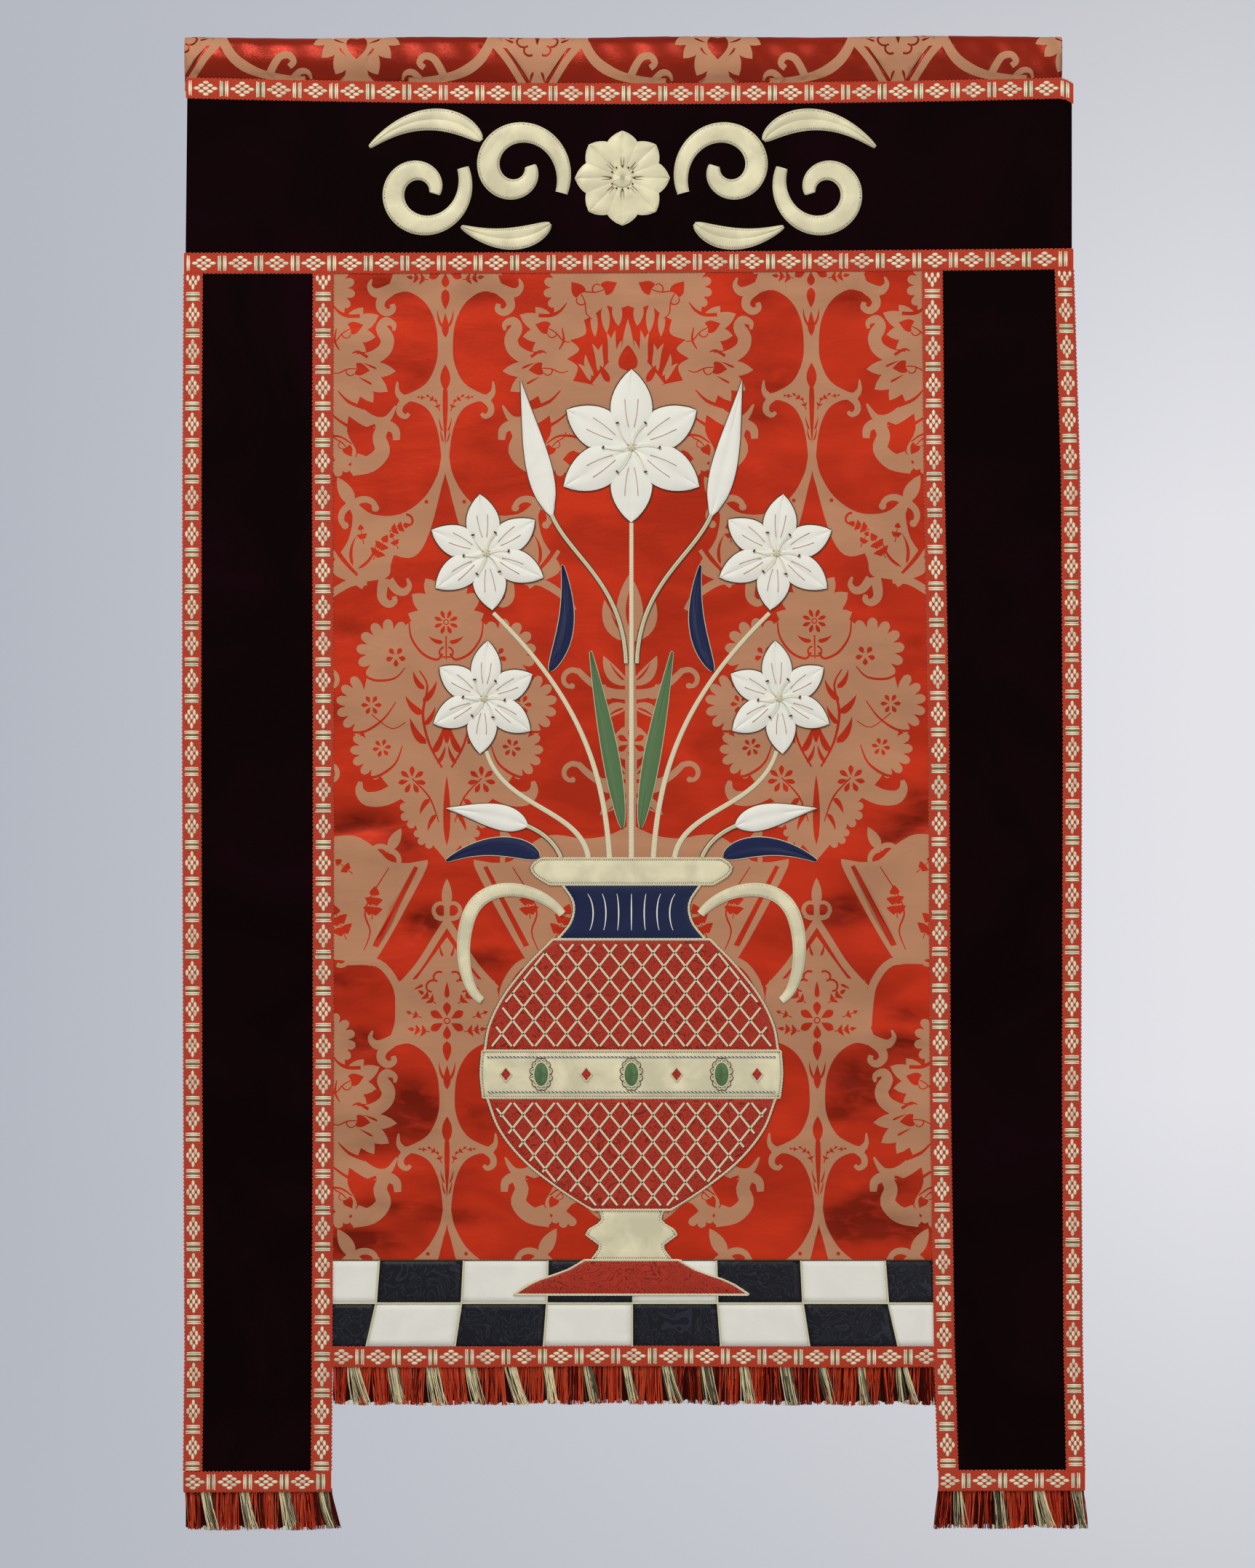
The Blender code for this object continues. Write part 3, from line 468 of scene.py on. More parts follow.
def stitch_look(name, colour, slope=0.8, pitch=0.0011, roughness=0.42):
    """Satin stitch whose threads slant away from the middle line of a strip."""
    look = Look(name, colour, roughness, Sheen_Weight=0.1, Sheen_Roughness=0.4)
    flat = look.add("SeparateXYZ", {0: look.place("UV")})
    off = look.math("MULTIPLY", look.math("ABSOLUTE", flat.outputs["Y"]), slope)
    along = look.math("ADD", flat.outputs["X"], off)
    wobble = look.math("MULTIPLY", look.noise(look.place(), 220.0, 2.0), 0.0012)
    turns = look.math("MULTIPLY", look.math("ADD", along, wobble), 2 * math.pi / pitch)
    lines = look.steep(look.math("SINE", turns), -1.0, 1.0)
    cloud = look.noise(look.place(), 38.0, 3.0)
    tone = look.mix(look.steep(lines, 0.0, 0.5), darker(colour, 0.60), colour)
    tone = look.mix(look.math("MULTIPLY", cloud, 0.35), tone, darker(colour, 0.75))
    look.set("Base Color", tone)
    look.set("Normal", look.bump(lines, 0.0003, 0.7))
    return look.material


# Meshes


class Shape:
    """Points and faces collected for one piece."""

    def __init__(self):
        self.points = []
        self.flat = []
        self.faces = []
        self.looks = []

    def point(self, x, y, z, u=0.0, v=0.0):
        self.points.append((x, y, z))
        self.flat.append((u, v))
        return len(self.points) - 1

    def face(self, *corners, look=0):
        self.faces.append(corners)
        self.looks.append(look)

    def grid(self, rows, look=0):
        """Faces between rows of point numbers; each row runs right and the rows run down."""
        for upper, lower in zip(rows, rows[1:]):
            for i in range(len(upper) - 1):
                self.face(upper[i], lower[i], lower[i + 1], upper[i + 1], look=look)

    def tube(self, path, radius, sides=4, look=0, lobes=0.0, pitch=0.003, squash=1.0, twist=None):
        """A tube along points, closed at both ends; lobes and a second colour twist it like plied cord."""
        path = [Vector(point) for point in path]
        along = 0.0
        before = None
        for i, centre in enumerate(path):
            if i:
                along += (centre - path[i - 1]).length
            run = (path[min(i + 1, len(path) - 1)] - path[max(i - 1, 0)]).normalized()
            up = Vector((0.0, -1.0, 0.0))
            if abs(run.dot(up)) > 0.95:
                up = Vector((0.0, 0.0, 1.0))
            side = run.cross(up).normalized()
            up = side.cross(run)
            wide = radius(i / (len(path) - 1)) if callable(radius) else radius
            ring = []
            for k in range(sides):
                angle = 2 * math.pi * (k + 0.5) / sides
                reach = wide * (1 + lobes * math.cos(2 * angle - 2 * math.pi * along / pitch))
                spot = centre + side * reach * math.cos(angle) + up * reach * squash * math.sin(angle)
                ring.append(self.point(*spot, along, wide * angle))
            if before:
                for k in range(sides):
                    j = (k + 1) % sides
                    shade = twist if twist is not None and (k + i) // 2 % 2 else look
                    self.face(before[k], before[j], ring[j], ring[k], look=shade)
            else:
                self.face(*reversed(ring), look=look)
            before = ring
        self.face(*before, look=look)

    def bead(self, centre, wide, tall, high, look=0, turn=0.0, sides=6):
        """A low dome on the cloth, facing the front."""
        x, y, z = centre
        ring = []
        shoulder = []
        for k in range(sides):
            angle = 2 * math.pi * k / sides
            a, b = wide * math.cos(angle), tall * math.sin(angle)
            dx = a * math.cos(turn) - b * math.sin(turn)
            dz = a * math.sin(turn) + b * math.cos(turn)
            ring.append(self.point(x + dx, y, z + dz, dx, dz))
            shoulder.append(self.point(x + 0.72 * dx, y - 0.72 * high, z + 0.72 * dz, dx, dz))
        crown = self.point(x, y - high, z)
        for k in range(sides):
            j = (k + 1) % sides
            self.face(ring[k], ring[j], shoulder[j], shoulder[k], look=look)
            self.face(shoulder[k], shoulder[j], crown, look=look)


def piece(name, shape, looks, nodes, slot, thickness=0.0, sharp=50, reverse=()):
    """One object of the banner, which may stand for solids and may have other looks on its back."""
    mesh = bpy.data.meshes.new(name)
    mesh.from_pydata(shape.points, [], shape.faces)
    for look in (*looks, *reverse):
        mesh.materials.append(look)
    mesh.polygons.foreach_set("material_index", shape.looks)
    corners = np.empty(len(mesh.loops), dtype=np.int32)
    mesh.loops.foreach_get("vertex_index", corners)
    flat = np.array(shape.flat, dtype=np.float32)[corners]
    mesh.uv_layers.new(name="flat").data.foreach_set("uv", flat.ravel())
    mesh.shade_smooth()
    mesh.set_sharp_from_angle(angle=math.radians(sharp))
    made = bpy.data.objects.new(name, mesh)
    bpy.context.scene.collection.objects.link(made)
    if thickness:
        solidify = made.modifiers.new("thickness", "SOLIDIFY")
        solidify.thickness = thickness
        solidify.offset = -1.0
        solidify.material_offset = len(looks) if reverse else 0
    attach(made, "root")
    if nodes:
        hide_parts(*nodes)
    return made


def on_cloth(x, z, forward):
    return (x, drape(x, z) - forward, z)


# Panels of velvet

HEADING_CELLS = (110, 24)
LAPPET_CELLS = (18, 150)

def cloth_grid(shape, columns, rows, forward=CLOTH / 2, look=0):
    """Points on the draped cloth at each crossing of the columns and rows."""
    made = []
    for row in rows:
        line = []
        for column in columns:
            z = row(column(row(0.0)))
            x = column(z)
            line.append(shape.point(x, drape(x, z) - forward, z, x, z))
        made.append(line)
    shape.grid(made, look)
    return made


def between(first, last, count, start=0.0, end=0.0):
    """Columns spread evenly from one hang line to another."""
    def column(share):
        return lambda z: (hang(first, z) + start) * (1 - share) + (hang(last, z) + end) * share
    return [column(share) for share in steps(0.0, 1.0, count)]


def level(line, offset=0.0):
    """A row of points that keeps its distance from a level line."""
    return lambda x: line(x) + offset


def fall(top, foot, count):
    """Rows spread evenly from one level line to another."""
    def row(share):
        return lambda x: top(x) * (1 - share) + foot(x) * share
    return [row(share) for share in steps(0.0, 1.0, count)]


def velvet_panels(velvet, lining):
    shape = Shape()
    columns = between("left_edge", "right_edge", HEADING_CELLS[0])
    cloth_grid(shape, columns, fall(level(heading_top), level(heading_foot, GAP / 2), HEADING_CELLS[1]))
    heading = piece("velvet_heading", shape, [velvet], ["heading"], "black_velvet", VISIBLE_CLOTH,
                    reverse=[lining])
    lappets = {}
    half = BRAID_WIDTH / 2
    sides = (("left", "left_edge", "left_inner", 0.0, -half - GAP / 2),
             ("right", "right_inner", "right_edge", half + GAP / 2, 0.0))
    for side, first, last, start, end in sides:
        shape = Shape()
        foot = level(lappet_foot, -HEM_BELOW_BRAID_MIDDLE)
        columns = between(first, last, LAPPET_CELLS[0], start, end)
        cloth_grid(shape, columns, fall(level(heading_foot, -GAP / 2), foot, LAPPET_CELLS[1]))
        name = f"velvet_lappet_{side}"
        lappets[side] = piece(name, shape, [velvet], [f"lappet_{side}"], "black_velvet", VISIBLE_CLOTH,
                              reverse=[lining])
    return heading, lappets


# The damask: flat shapes painted over each other on a strip of cloth

PANEL_LEFT = -0.389
PANEL_RIGHT = 0.389
PANEL_CELL = 0.0095


def clip(outline, axis, limit, keep):
    """The part of an outline on one side of an upright or level line."""
    kept = []
    for i, point in enumerate(outline):
        before = outline[i - 1]
        inside, was = keep * point[axis] >= keep * limit, keep * before[axis] >= keep * limit
        if inside != was:
            share = (limit - before[axis]) / (point[axis] - before[axis])
            kept.append(tuple(before[k] + share * (point[k] - before[k]) for k in (0, 1)))
        if inside:
            kept.append(point)
    return kept


def covered(outline, x, z):
    """Which of many places lie inside an outline."""
    inside = np.zeros(len(x), dtype=bool)
    for i, (x2, z2) in enumerate(outline):
        x1, z1 = outline[i - 1]
        crossed = (z1 > z) != (z2 > z)
        if z1 != z2:
            inside ^= crossed & (x < (x2 - x1) * (z - z1) / (z2 - z1) + x1)
    return inside


def painted_cloth(left, right, top, foot, cell, shapes):
    """Triangles over a rectangle, split along the shapes' edges, each with its colour number."""
    points, edges = [], []
    across, down = round((right - left) / cell), round((top - foot) / cell)
    for z in steps(top, foot, down):
        points += [(x, z) for x in steps(left, right, across)]
    kept = []
    for outline, colour in shapes:
        for axis, limit, keep in ((0, left, 1), (0, right, -1), (1, foot, 1), (1, top, -1)):
            outline = clip(outline, axis, limit, keep)
            if len(outline) < 3:
                break
        else:
            kept.append((outline, colour))
            start = len(points)
            points += outline
            size = len(outline)
            edges += [(start + i, start + (i + 1) % size) for i in range(size)]
    flat, _, faces, *_ = delaunay_2d_cdt([Vector(point) for point in points], edges, [], 0, 1e-5, False)
    flat = np.array([tuple(point) for point in flat])
    faces = np.array(faces)
    centres = flat[faces].mean(axis=1)
    colours = np.zeros(len(faces), dtype=int)
    for outline, colour in kept:
        low, high = np.min(outline, axis=0), np.max(outline, axis=0)
        near = np.flatnonzero(((centres >= low) & (centres <= high)).all(axis=1))
        hit = near[covered(outline, centres[near, 0], centres[near, 1])]
        colours[hit] = colour
    return flat, faces, colours


FAWN_CLOTH = 1
RED_CLOTH = 0


# Flat shapes of the figure: millimetres out from a column's axis and down from the top edge


def curve(points, closed=False, count=4):
    """A smooth line through points; a third value marks a sharp corner."""
    made = []
    size = len(points)
    for i in range(size if closed else size - 1):
        a, b = points[i], points[(i + 1) % size]
        before = a if len(a) > 2 or (i == 0 and not closed) else points[i - 1]
        after = b if len(b) > 2 or (i == size - 2 and not closed) else points[(i + 2) % size]
        for k in range(count):
            t = k / count
            w = (-t + 2 * t * t - t ** 3, 2 - 5 * t * t + 3 * t ** 3, t + 4 * t * t - 3 * t ** 3,
                 t ** 3 - t * t)
            corners = (before, a, b, after)
            made.append(tuple(sum(w[n] * corners[n][axis] for n in range(4)) / 2 for axis in (0, 1)))
    if not closed:
        made.append(tuple(points[-1][:2]))
    return made


def stroke(points, halves, count=4):
    """A band along a smooth line, with half its width at the start, the middle and the end."""
    line = curve(points, False, count)
    first, middle, last = halves
    left, right = [], []
    for i, (x, y) in enumerate(line):
        t = i / (len(line) - 1)
        half = first + (middle - first) * 2 * t if t < 0.5 else middle + (last - middle) * (2 * t - 1)
        before, after = line[max(i - 1, 0)], line[min(i + 1, len(line) - 1)]
        run = math.hypot(after[0] - before[0], after[1] - before[1])
        nx, ny = (after[1] - before[1]) / run, (before[0] - after[0]) / run
        left.append((x + nx * half, y + ny * half))
        right.append((x - nx * half, y - ny * half))
    return left + right[::-1]


def petal(root, tip, half, bend=0.0, round_tip=0.5):
    """A leaf from its root to its tip, widest at a share of its length, bent to one side."""
    dx, dy = tip[0] - root[0], tip[1] - root[1]
    left, right = [], []
    for t in steps(0.0, 1.0, 8):
        wide = half * math.sin(math.pi * t ** round_tip) ** 0.8 if 0 < t < 1 else 0.0
        shift = 4 * bend * t * (1 - t)
        size = math.hypot(dx, dy)
        nx, ny = -dy / size, dx / size
        x, y = root[0] + dx * t + nx * shift, root[1] + dy * t + ny * shift
        left.append((x + nx * wide, y + ny * wide))
        right.append((x - nx * wide, y - ny * wide))
    return left + right[-2:0:-1]


def fan(centre, radius, start, end, lobes, depth, pointed=False, count=7):
    """A leaf whose edge has lobes on an arc round its centre; angles grow from outwards to down."""
    points = [centre]
    for i in range(lobes * count + 1):
        share = (i % count) / count
        swell = 1 - abs(2 * share - 1) ** 0.8 if pointed else math.sin(math.pi * share) ** 0.55
        angle = math.radians(start + (end - start) * i / (lobes * count))
        reach = radius * (1 - depth + depth * swell)
        points.append((centre[0] + reach * math.cos(angle), centre[1] + reach * math.sin(angle)))
    return points


def disc(centre, radius, sides=12):
    return [(centre[0] + radius * math.cos(2 * math.pi * k / sides),
             centre[1] + radius * math.sin(2 * math.pi * k / sides)) for k in range(sides)]


def hook(root, turn, size, half):
    """A curling tendril that leaves its root at an angle and turns in on itself."""
    heading = math.radians(turn[0])
    side = 1 if turn[1] > turn[0] else -1
    x, y = root
    points = [(x, y)]
    sweep = abs(turn[1] - turn[0])
    for t in steps(0.0, 1.0, 7)[1:]:
        angle = heading + side * math.radians(sweep) * t ** 0.85
        run = size * (1.25 - 0.85 * t)
        x, y = x + run * math.cos(angle), y + run * math.sin(angle)
        points.append((x, y))
    knob = disc((x, y), half * 1.05, 8)
    return [stroke(points, (half, half * 0.85, half * 0.7), 3), knob]


def blossom(centre, radius, petals, turn=0.0, ring=0.0):
    """A red flower, with a fawn ring round its middle where one is asked for."""
    made = []
    for k in range(petals):
        angle = math.radians(turn) + 2 * math.pi * k / petals
        tip = (centre[0] + radius * math.cos(angle), centre[1] + radius * math.sin(angle))
        root = (centre[0] + 0.22 * radius * math.cos(angle), centre[1] + 0.22 * radius * math.sin(angle))
        made.append((petal(root, tip, radius * 1.15 / petals ** 0.95, 0.0, 1.5), RED_CLOTH))
    if ring:
        made.append((disc(centre, ring), FAWN_CLOTH))
        made.append((disc(centre, 0.68 * ring), RED_CLOTH))
        made.append((disc(centre, 0.42 * ring), FAWN_CLOTH))
    return made


def sprig(root, turn, length, leaves, half=1.6, spread=55.0):
    """A thin red stem with pairs of leaves and one at its end."""
    angle = math.radians(turn)
    tip = (root[0] + length * math.cos(angle), root[1] + length * math.sin(angle))
    made = [(stroke([root, tip], (0.7, 0.6, 0.5)), RED_CLOTH)]
    for k in range(leaves):
        share = (k + 0.6) / (leaves + 0.4)
        start = (root[0] + (tip[0] - root[0]) * share, root[1] + (tip[1] - root[1]) * share)
        reach = length * (0.50 - 0.10 * share)
        for side in (-1, 1):
            lean = angle + side * math.radians(spread)
            end = (start[0] + reach * math.cos(lean), start[1] + reach * math.sin(lean))
            made.append((petal(start, end, half, -side * 0.10 * reach), RED_CLOTH))
    end = (tip[0] + 0.42 * length * math.cos(angle), tip[1] + 0.42 * length * math.sin(angle))
    made.append((petal(tip, end, half * 1.15), RED_CLOTH))
    return made


def fawn(*outlines):
    return [(outline, FAWN_CLOTH) for outline in outlines]


def red(*outlines):
    return [(outline, RED_CLOTH) for outline in outlines]


def both(shapes):
    """Shapes with their mirror images across the axis."""
    return shapes + [([(-x, y) for x, y in outline], colour) for outline, colour in shapes]


def necks():
    """The flower field, its neck between two ovals, the spike below and the branches that leave it."""
    side = [(0, 1196, 1), (60, 1203, 1), (65, 1222), (66, 1256), (73, 1279), (70, 1287), (48, 1283),
            (26, 1297), (13, 1322), (9.6, 1352), (12, 1376), (24, 1400), (45, 1413), (58, 1417), (57, 1424),
            (40, 1424), (22, 1434), (11, 1456), (6, 1484), (6, 1506), (14, 1531), (30, 1553), (56, 1572),
            (84, 1574), (106, 1562), (113, 1550), (121, 1560), (112, 1580), (96, 1600), (70, 1618),
            (40, 1622), (20, 1590), (0, 1513, 1)]
    made = fawn(curve(side, True))
    made += fawn(stroke([(60, 1276), (80, 1284), (91, 1284), (97, 1276), (94, 1267)], (8, 5.5, 1.0)))
    made += fawn(stroke([(70, 1282), (81, 1292), (83, 1303), (75, 1310), (67, 1306), (68, 1299)],
                        (6.5, 5.2, 3.0)))
    made += fawn(stroke([(42, 1419), (54, 1419), (61, 1411), (61, 1398)], (4.5, 4.2, 0.8)))
    made += fawn(stroke([(48, 1420), (57, 1428), (58, 1438), (51, 1443), (46, 1439)], (4.2, 4.0, 2.2)))
    made += fleur((117, 1556), -60, 1.2)
    return both(made)


def fleur(root, turn, size):
    """A three-leaved finial that points a given way from its root."""
    angle = math.radians(turn)
    tip = (root[0] + 34 * size * math.cos(angle), root[1] + 34 * size * math.sin(angle))
    made = fawn(petal(root, tip, 7.5 * size, 0.0, 0.8))
    for side in (-1, 1):
        made += fawn(*hook(root, (turn + side * 50, turn + side * 200), 5.6 * size, 3.9 * size))
    return made


def neck_cuts():
    """Red flowers, drops and sprigs inside the flower field and the spike."""
    made = blossom((0, 1254), 24, 6, 90, 6.5)
    made += red(petal((0, 1280), (0, 1306), 5.5, 0, 0.7), petal((0, 1310), (0, 1342), 4.6, 0, 1.4))
    made += red(petal((0, 1225), (0, 1204), 3.2))
    half = sprig((22, 1268), -8, 20, 2, 2.2) + sprig((14, 1232), -38, 20, 2, 2.2)
    half += sprig((32, 1250), -22, 15, 1, 2.0)
    half += red(petal((3, 1330), (10, 1306), 1.6, 2), petal((0, 1336), (-1, 1336.5), 0.5))
    half += sprig((12, 1424), -36, 11, 1, 1.5) + sprig((7, 1436), -70, 12, 1, 1.4)
    half += sprig((25, 1419), -6, 8, 1, 1.3)
    half += red(petal((3, 1462), (8, 1444), 1.1, 1), petal((2, 1476), (6, 1458), 1.0, 1))
    made += both(half)
    made += red(petal((0, 1376), (0, 1410), 6.4, 0, 1.1), petal((0, 1400), (0, 1480), 3.4, 0, 0.55))
    return made


def branches():
    """Leafy bands that sweep out from the lower neck, round a field for the palmette."""
    upper = [(4, 530), (10, 556), (28, 586), (58, 606), (92, 606), (112, 592), (120, 584), (127, 592),
             (118, 606), (124, 640), (146, 676), (120, 692), (88, 690), (72, 684), (68, 664), (52, 634),
             (28, 606), (10, 582), (0, 552)]
    made = fawn(curve(upper, True))
    made += fawn(stroke([(78, 688), (81, 704), (80, 715), (72, 721), (65, 717), (66, 711)], (7, 5.2, 2.8)))
    made += fawn(stroke([(72, 690), (62, 703), (52, 705), (46, 697), (49, 688)], (6, 4.8, 1.4)))
    made += fawn(stroke([(142, 652), (128, 674), (112, 692), (104, 698)], (4.5, 4.5, 4.5)))
    made += fawn(stroke([(100, 692), (122, 694), (150, 712), (162, 730)], (5, 5, 4)))
    made += red(stroke([(146, 640), (130, 664), (112, 684)], (2.6, 2.8, 1.6)))
    made += sprig((60, 650), -64, 16, 1, 3.0) + sprig((92, 664), -120, 26, 2, 4.2, 62)
    made += sprig((104, 644), -80, 18, 1, 3.4) + sprig((72, 628), -160, 20, 2, 3.2)
    made += red(*hook((50, 606), (200, 10), 4.0, 1.6), disc((24, 590), 2.6, 8))
    made += red(petal((112, 676), (88, 640), 2.0, -6), petal((118, 672), (112, 632), 2.2, 5))
    return both(made)


def palmette():
    """The large palmette: a crowned medallion between three fans of round lobes on each side."""
    body = [(0, 700), (26, 712), (44, 742), (70, 760), (92, 790), (104, 830), (108, 870), (96, 910),
            (84, 940), (66, 962), (44, 985), (36, 1010), (22, 1024), (0, 1050, 1)]
    made = both(fawn(curve([(0, 700, 1)] + body[1:], True)))
    half = fawn(petal((2, 724), (26, 688), 11, 0, 1.1), petal((4, 738), (43, 708), 12, 0, 1.2))
    half += fawn(petal((6, 752), (48, 733), 11, 0, 1.2))
    half += fawn(fan((72, 782), 42, -128, 62, 7, 0.30), fan((98, 850), 42, -72, 78, 6, 0.30))
    half += fawn(fan((84, 908), 38, -40, 92, 5, 0.30))
    half += fawn(stroke([(50, 952), (78, 968), (100, 970), (110, 960), (109, 948)], (12, 9, 2.4)))
    half += fawn(fan((34, 985), 26, -30, 110, 4, 0.28), fan((20, 1012), 22, -10, 100, 3, 0.28))
    made += both(half)
    made += fawn(petal((0, 748), (0, 671), 16, 0, 1.15), fan((0, 742), 30, 30, 150, 4, 0.15))
    return made


def palmette_cuts():
    """Red veins, flowers and vines inside the palmette."""
    made = blossom((0, 744), 16, 8, 22.5, 5.6)
    made += red(stroke([(0, 762), (0, 792)], (1.0, 0.9, 0.8)), petal((0, 800), (0, 832), 4.2, 0, 1.5))
    half = red(stroke([(47, 742), (44, 764), (30, 784), (12, 792), (5, 784)], (0.8, 1.7, 1.4)))
    half += red(*hook((3, 776), (-8, 190), 3.6, 1.3), petal((4, 770), (22, 762), 2.8, 2))
    half += blossom((64, 788), 13, 5, 20) + blossom((95, 850), 13, 6) + blossom((82, 905), 12, 6, 10)
    half += fawn(disc((64, 788), 2.4, 8), disc((95, 850), 2.4, 8), disc((82, 905), 2.2, 8))
    half += red(stroke([(112, 806), (92, 818), (66, 816), (52, 802)], (1.6, 1.6, 0.6)))
    half += red(stroke([(128, 884), (104, 884), (80, 868), (64, 846)], (1.6, 1.6, 0.6)))
    half += red(stroke([(112, 940), (90, 942), (66, 926), (56, 902)], (1.8, 1.8, 0.6)))
    half += red(stroke([(95, 862), (70, 880), (52, 872)], (0.7, 0.7, 0.6)))
    half += red(stroke([(6, 930), (22, 900), (30, 862), (24, 826), (34, 806)], (1.2, 1.8, 0.8)))
    half += red(petal((26, 900), (46, 866), 5.0, 4), petal((30, 862), (52, 838), 4.6, 3))
    half += red(petal((30, 846), (12, 818), 3.8, -3), petal((28, 830), (42, 806), 3.6, 3))
    half += red(petal((18, 912), (4, 876), 4.2, -3), petal((12, 925), (2, 902), 2.6, -2))
    half += red(petal((28, 876), (14, 852), 3.2, -2))
    half += blossom((44, 946), 18, 7, 12, 0) + fawn(disc((44, 946), 3.0, 8))
    half += red(stroke([(44, 944), (22, 968), (10, 1000)], (0.8, 1.2, 0.6)))
    half += red(petal((22, 970), (34, 990), 3.4, -2), petal((14, 990), (24, 1012), 2.8, -2))
    made += both(half)
    made += red(petal((0, 1030), (0, 940), 4.6, 0, 0.8), petal((0, 900), (0, 868), 4.0, 0, 0.8))
    return made


def finial():
    """A fleur over two straight bands, with a scrolled panel between them."""
    made = fawn(petal((0, 1112), (0, 1072), 6.5, 0, 0.85))
    made += fawn(stroke([(0, 1096), (0, 1134)], (4, 3.6, 4.2)))
    half = fawn(stroke([(0, 1122), (8, 1123), (15, 1120)], (3.6, 3.2, 3.0)))
    half += fawn(*hook((13, 1121), (-10, -270), 6.5, 2.8))
    half += fawn(stroke([(0, 1127), (14, 1149), (36, 1184), (62, 1214)], (4.6, 4.4, 4.8)))
    made += both(half)
    made += fawn([(0, 1147), (44, 1208), (48, 1222), (-48, 1222), (-44, 1208)])
    cuts = red(*hook((6, 1192), (-50, 160), 4.0, 1.5), *hook((16, 1202), (-30, 170), 4.4, 1.5))
    cuts += red(petal((5, 1172), (9, 1156), 1.6, 1), petal((30, 1208), (42, 1214), 1.8))
    return made + both(cuts)


def great_leaf():
    """The tall palmette on the other columns: fingered leaves, curls and a horn."""
    body = [(0, 296, 1), (50, 290), (86, 298), (98, 326), (94, 348), (106, 372), (110, 400), (118, 420),
            (120, 448), (104, 468), (98, 500), (110, 528), (92, 545), (70, 525), (40, 548), (0, 566, 1)]
    half = fawn(curve(body, True), fan((70, 318), 38, -80, 48, 5, 0.26))
    for tip, wide in (((118, 341), 9.0), ((138, 351), 11.0), ((134, 379), 9.5), ((122, 398), 8.0)):
        half += fawn(petal((90, 374), tip, wide, 0, 1.15))
    for tip, wide in (((160, 423), 10.0), ((150, 449), 11.5), ((131, 463), 10.5), ((110, 466), 8.0)):
        half += fawn(petal((102, 418), tip, wide, 0, 1.15))
    half += fawn(stroke([(112, 410), (130, 406), (145, 396), (149, 382), (142, 368), (147, 359), (157, 363),
                         (157, 371)], (9, 8.5, 1.6)))
    half += fawn(stroke([(80, 452), (104, 471), (128, 487), (148, 485), (160, 467)], (11, 8.5, 1.0)))
    half += fawn(stroke([(104, 545), (128, 541), (143, 525), (139, 507), (147, 493), (159, 498), (161, 511)],
                        (12, 8.5, 4.2)))
    half += fawn(fan((112, 528), 27, 20, 120, 3, 0.25), fan((84, 536), 22, 20, 140, 3, 0.25))
    return both(half)


def great_leaf_cuts():
    """A red glow with tongues of fawn in it, and spade leaves on curling stems."""
    glow = [(0, 340, 1), (14, 344), (28, 340), (44, 352), (56, 358, 1), (54, 376), (74, 384, 1), (62, 396),
            (78, 408, 1), (64, 418), (70, 436, 1), (50, 440), (26, 446), (0, 448)]
    made = both(red(curve(glow, True)))
    tongues = []
    inner = (((12, 366), (15, 334), 6.5), ((27, 375), (30, 336), 5.5), ((42, 380), (44, 344), 4.6))
    for tip, root, wide in inner:
        tongues += fawn(petal(root, tip, wide, 0, 0.9))
    for tip, root, wide, bend in (((16, 371), (14, 412), 4.2, 4), ((27, 374), (24, 414), 4.0, -4),
                                  ((33, 389), (32, 420), 3.8, 3), ((46, 388), (38, 424), 3.8, -4),
                                  ((54, 402), (44, 430), 3.6, 3), ((64, 414), (48, 436), 3.6, -3),
                                  ((8, 384), (8, 412), 3.4, 3)):
        tongues += fawn(petal(root, tip, wide, bend, 0.75))
    made += both(tongues)
    crown = [(-46, 440), (-28, 416), (-16, 404), (16, 404), (28, 416), (46, 440), (20, 452), (-20, 452)]
    made += fawn(petal((0, 424), (0, 357), 8.5, 0, 0.55), crown)
    made += red(petal((0, 424), (0, 390), 12.5, 0, 0.62), petal((0, 560), (0, 520), 5.0, 0, 0.8))
    half = red(petal((24, 438), (36, 416), 4.5, 0, 0.7))
    for centre, turn, size in (((62, 322), -52, 1.25), ((28, 318), -152, 1.25), ((104, 368), -18, 1.15),
                               ((112, 420), 8, 1.15), ((60, 496), 40, 1.0), ((98, 522), 60, 0.9)):
        half += spade(centre, turn, size)
    half += red(stroke([(114, 352), (98, 352), (86, 346), (78, 336)], (2.4, 2.2, 0.6)))
    half += red(stroke([(124, 405), (112, 398), (104, 400)], (2.0, 1.8, 0.5)))
    half += red(stroke([(88, 396), (82, 384), (84, 368)], (0.6, 1.6, 0.6)))
    half += red(stroke([(134, 492), (112, 498), (88, 486), (70, 470)], (2.0, 2.0, 0.6)))
    half += red(stroke([(120, 470), (100, 462), (86, 448)], (2.4, 2.0, 0.6)))
    half += red(stroke([(44, 540), (58, 512), (86, 506), (104, 516)], (0.6, 1.8, 0.8)))
    half += red(petal((136, 420), (118, 412), 1.5), petal((130, 440), (112, 430), 1.5))
    half += sprig((30, 500), 70, 26, 2, 3.6)
    return made + both(half)


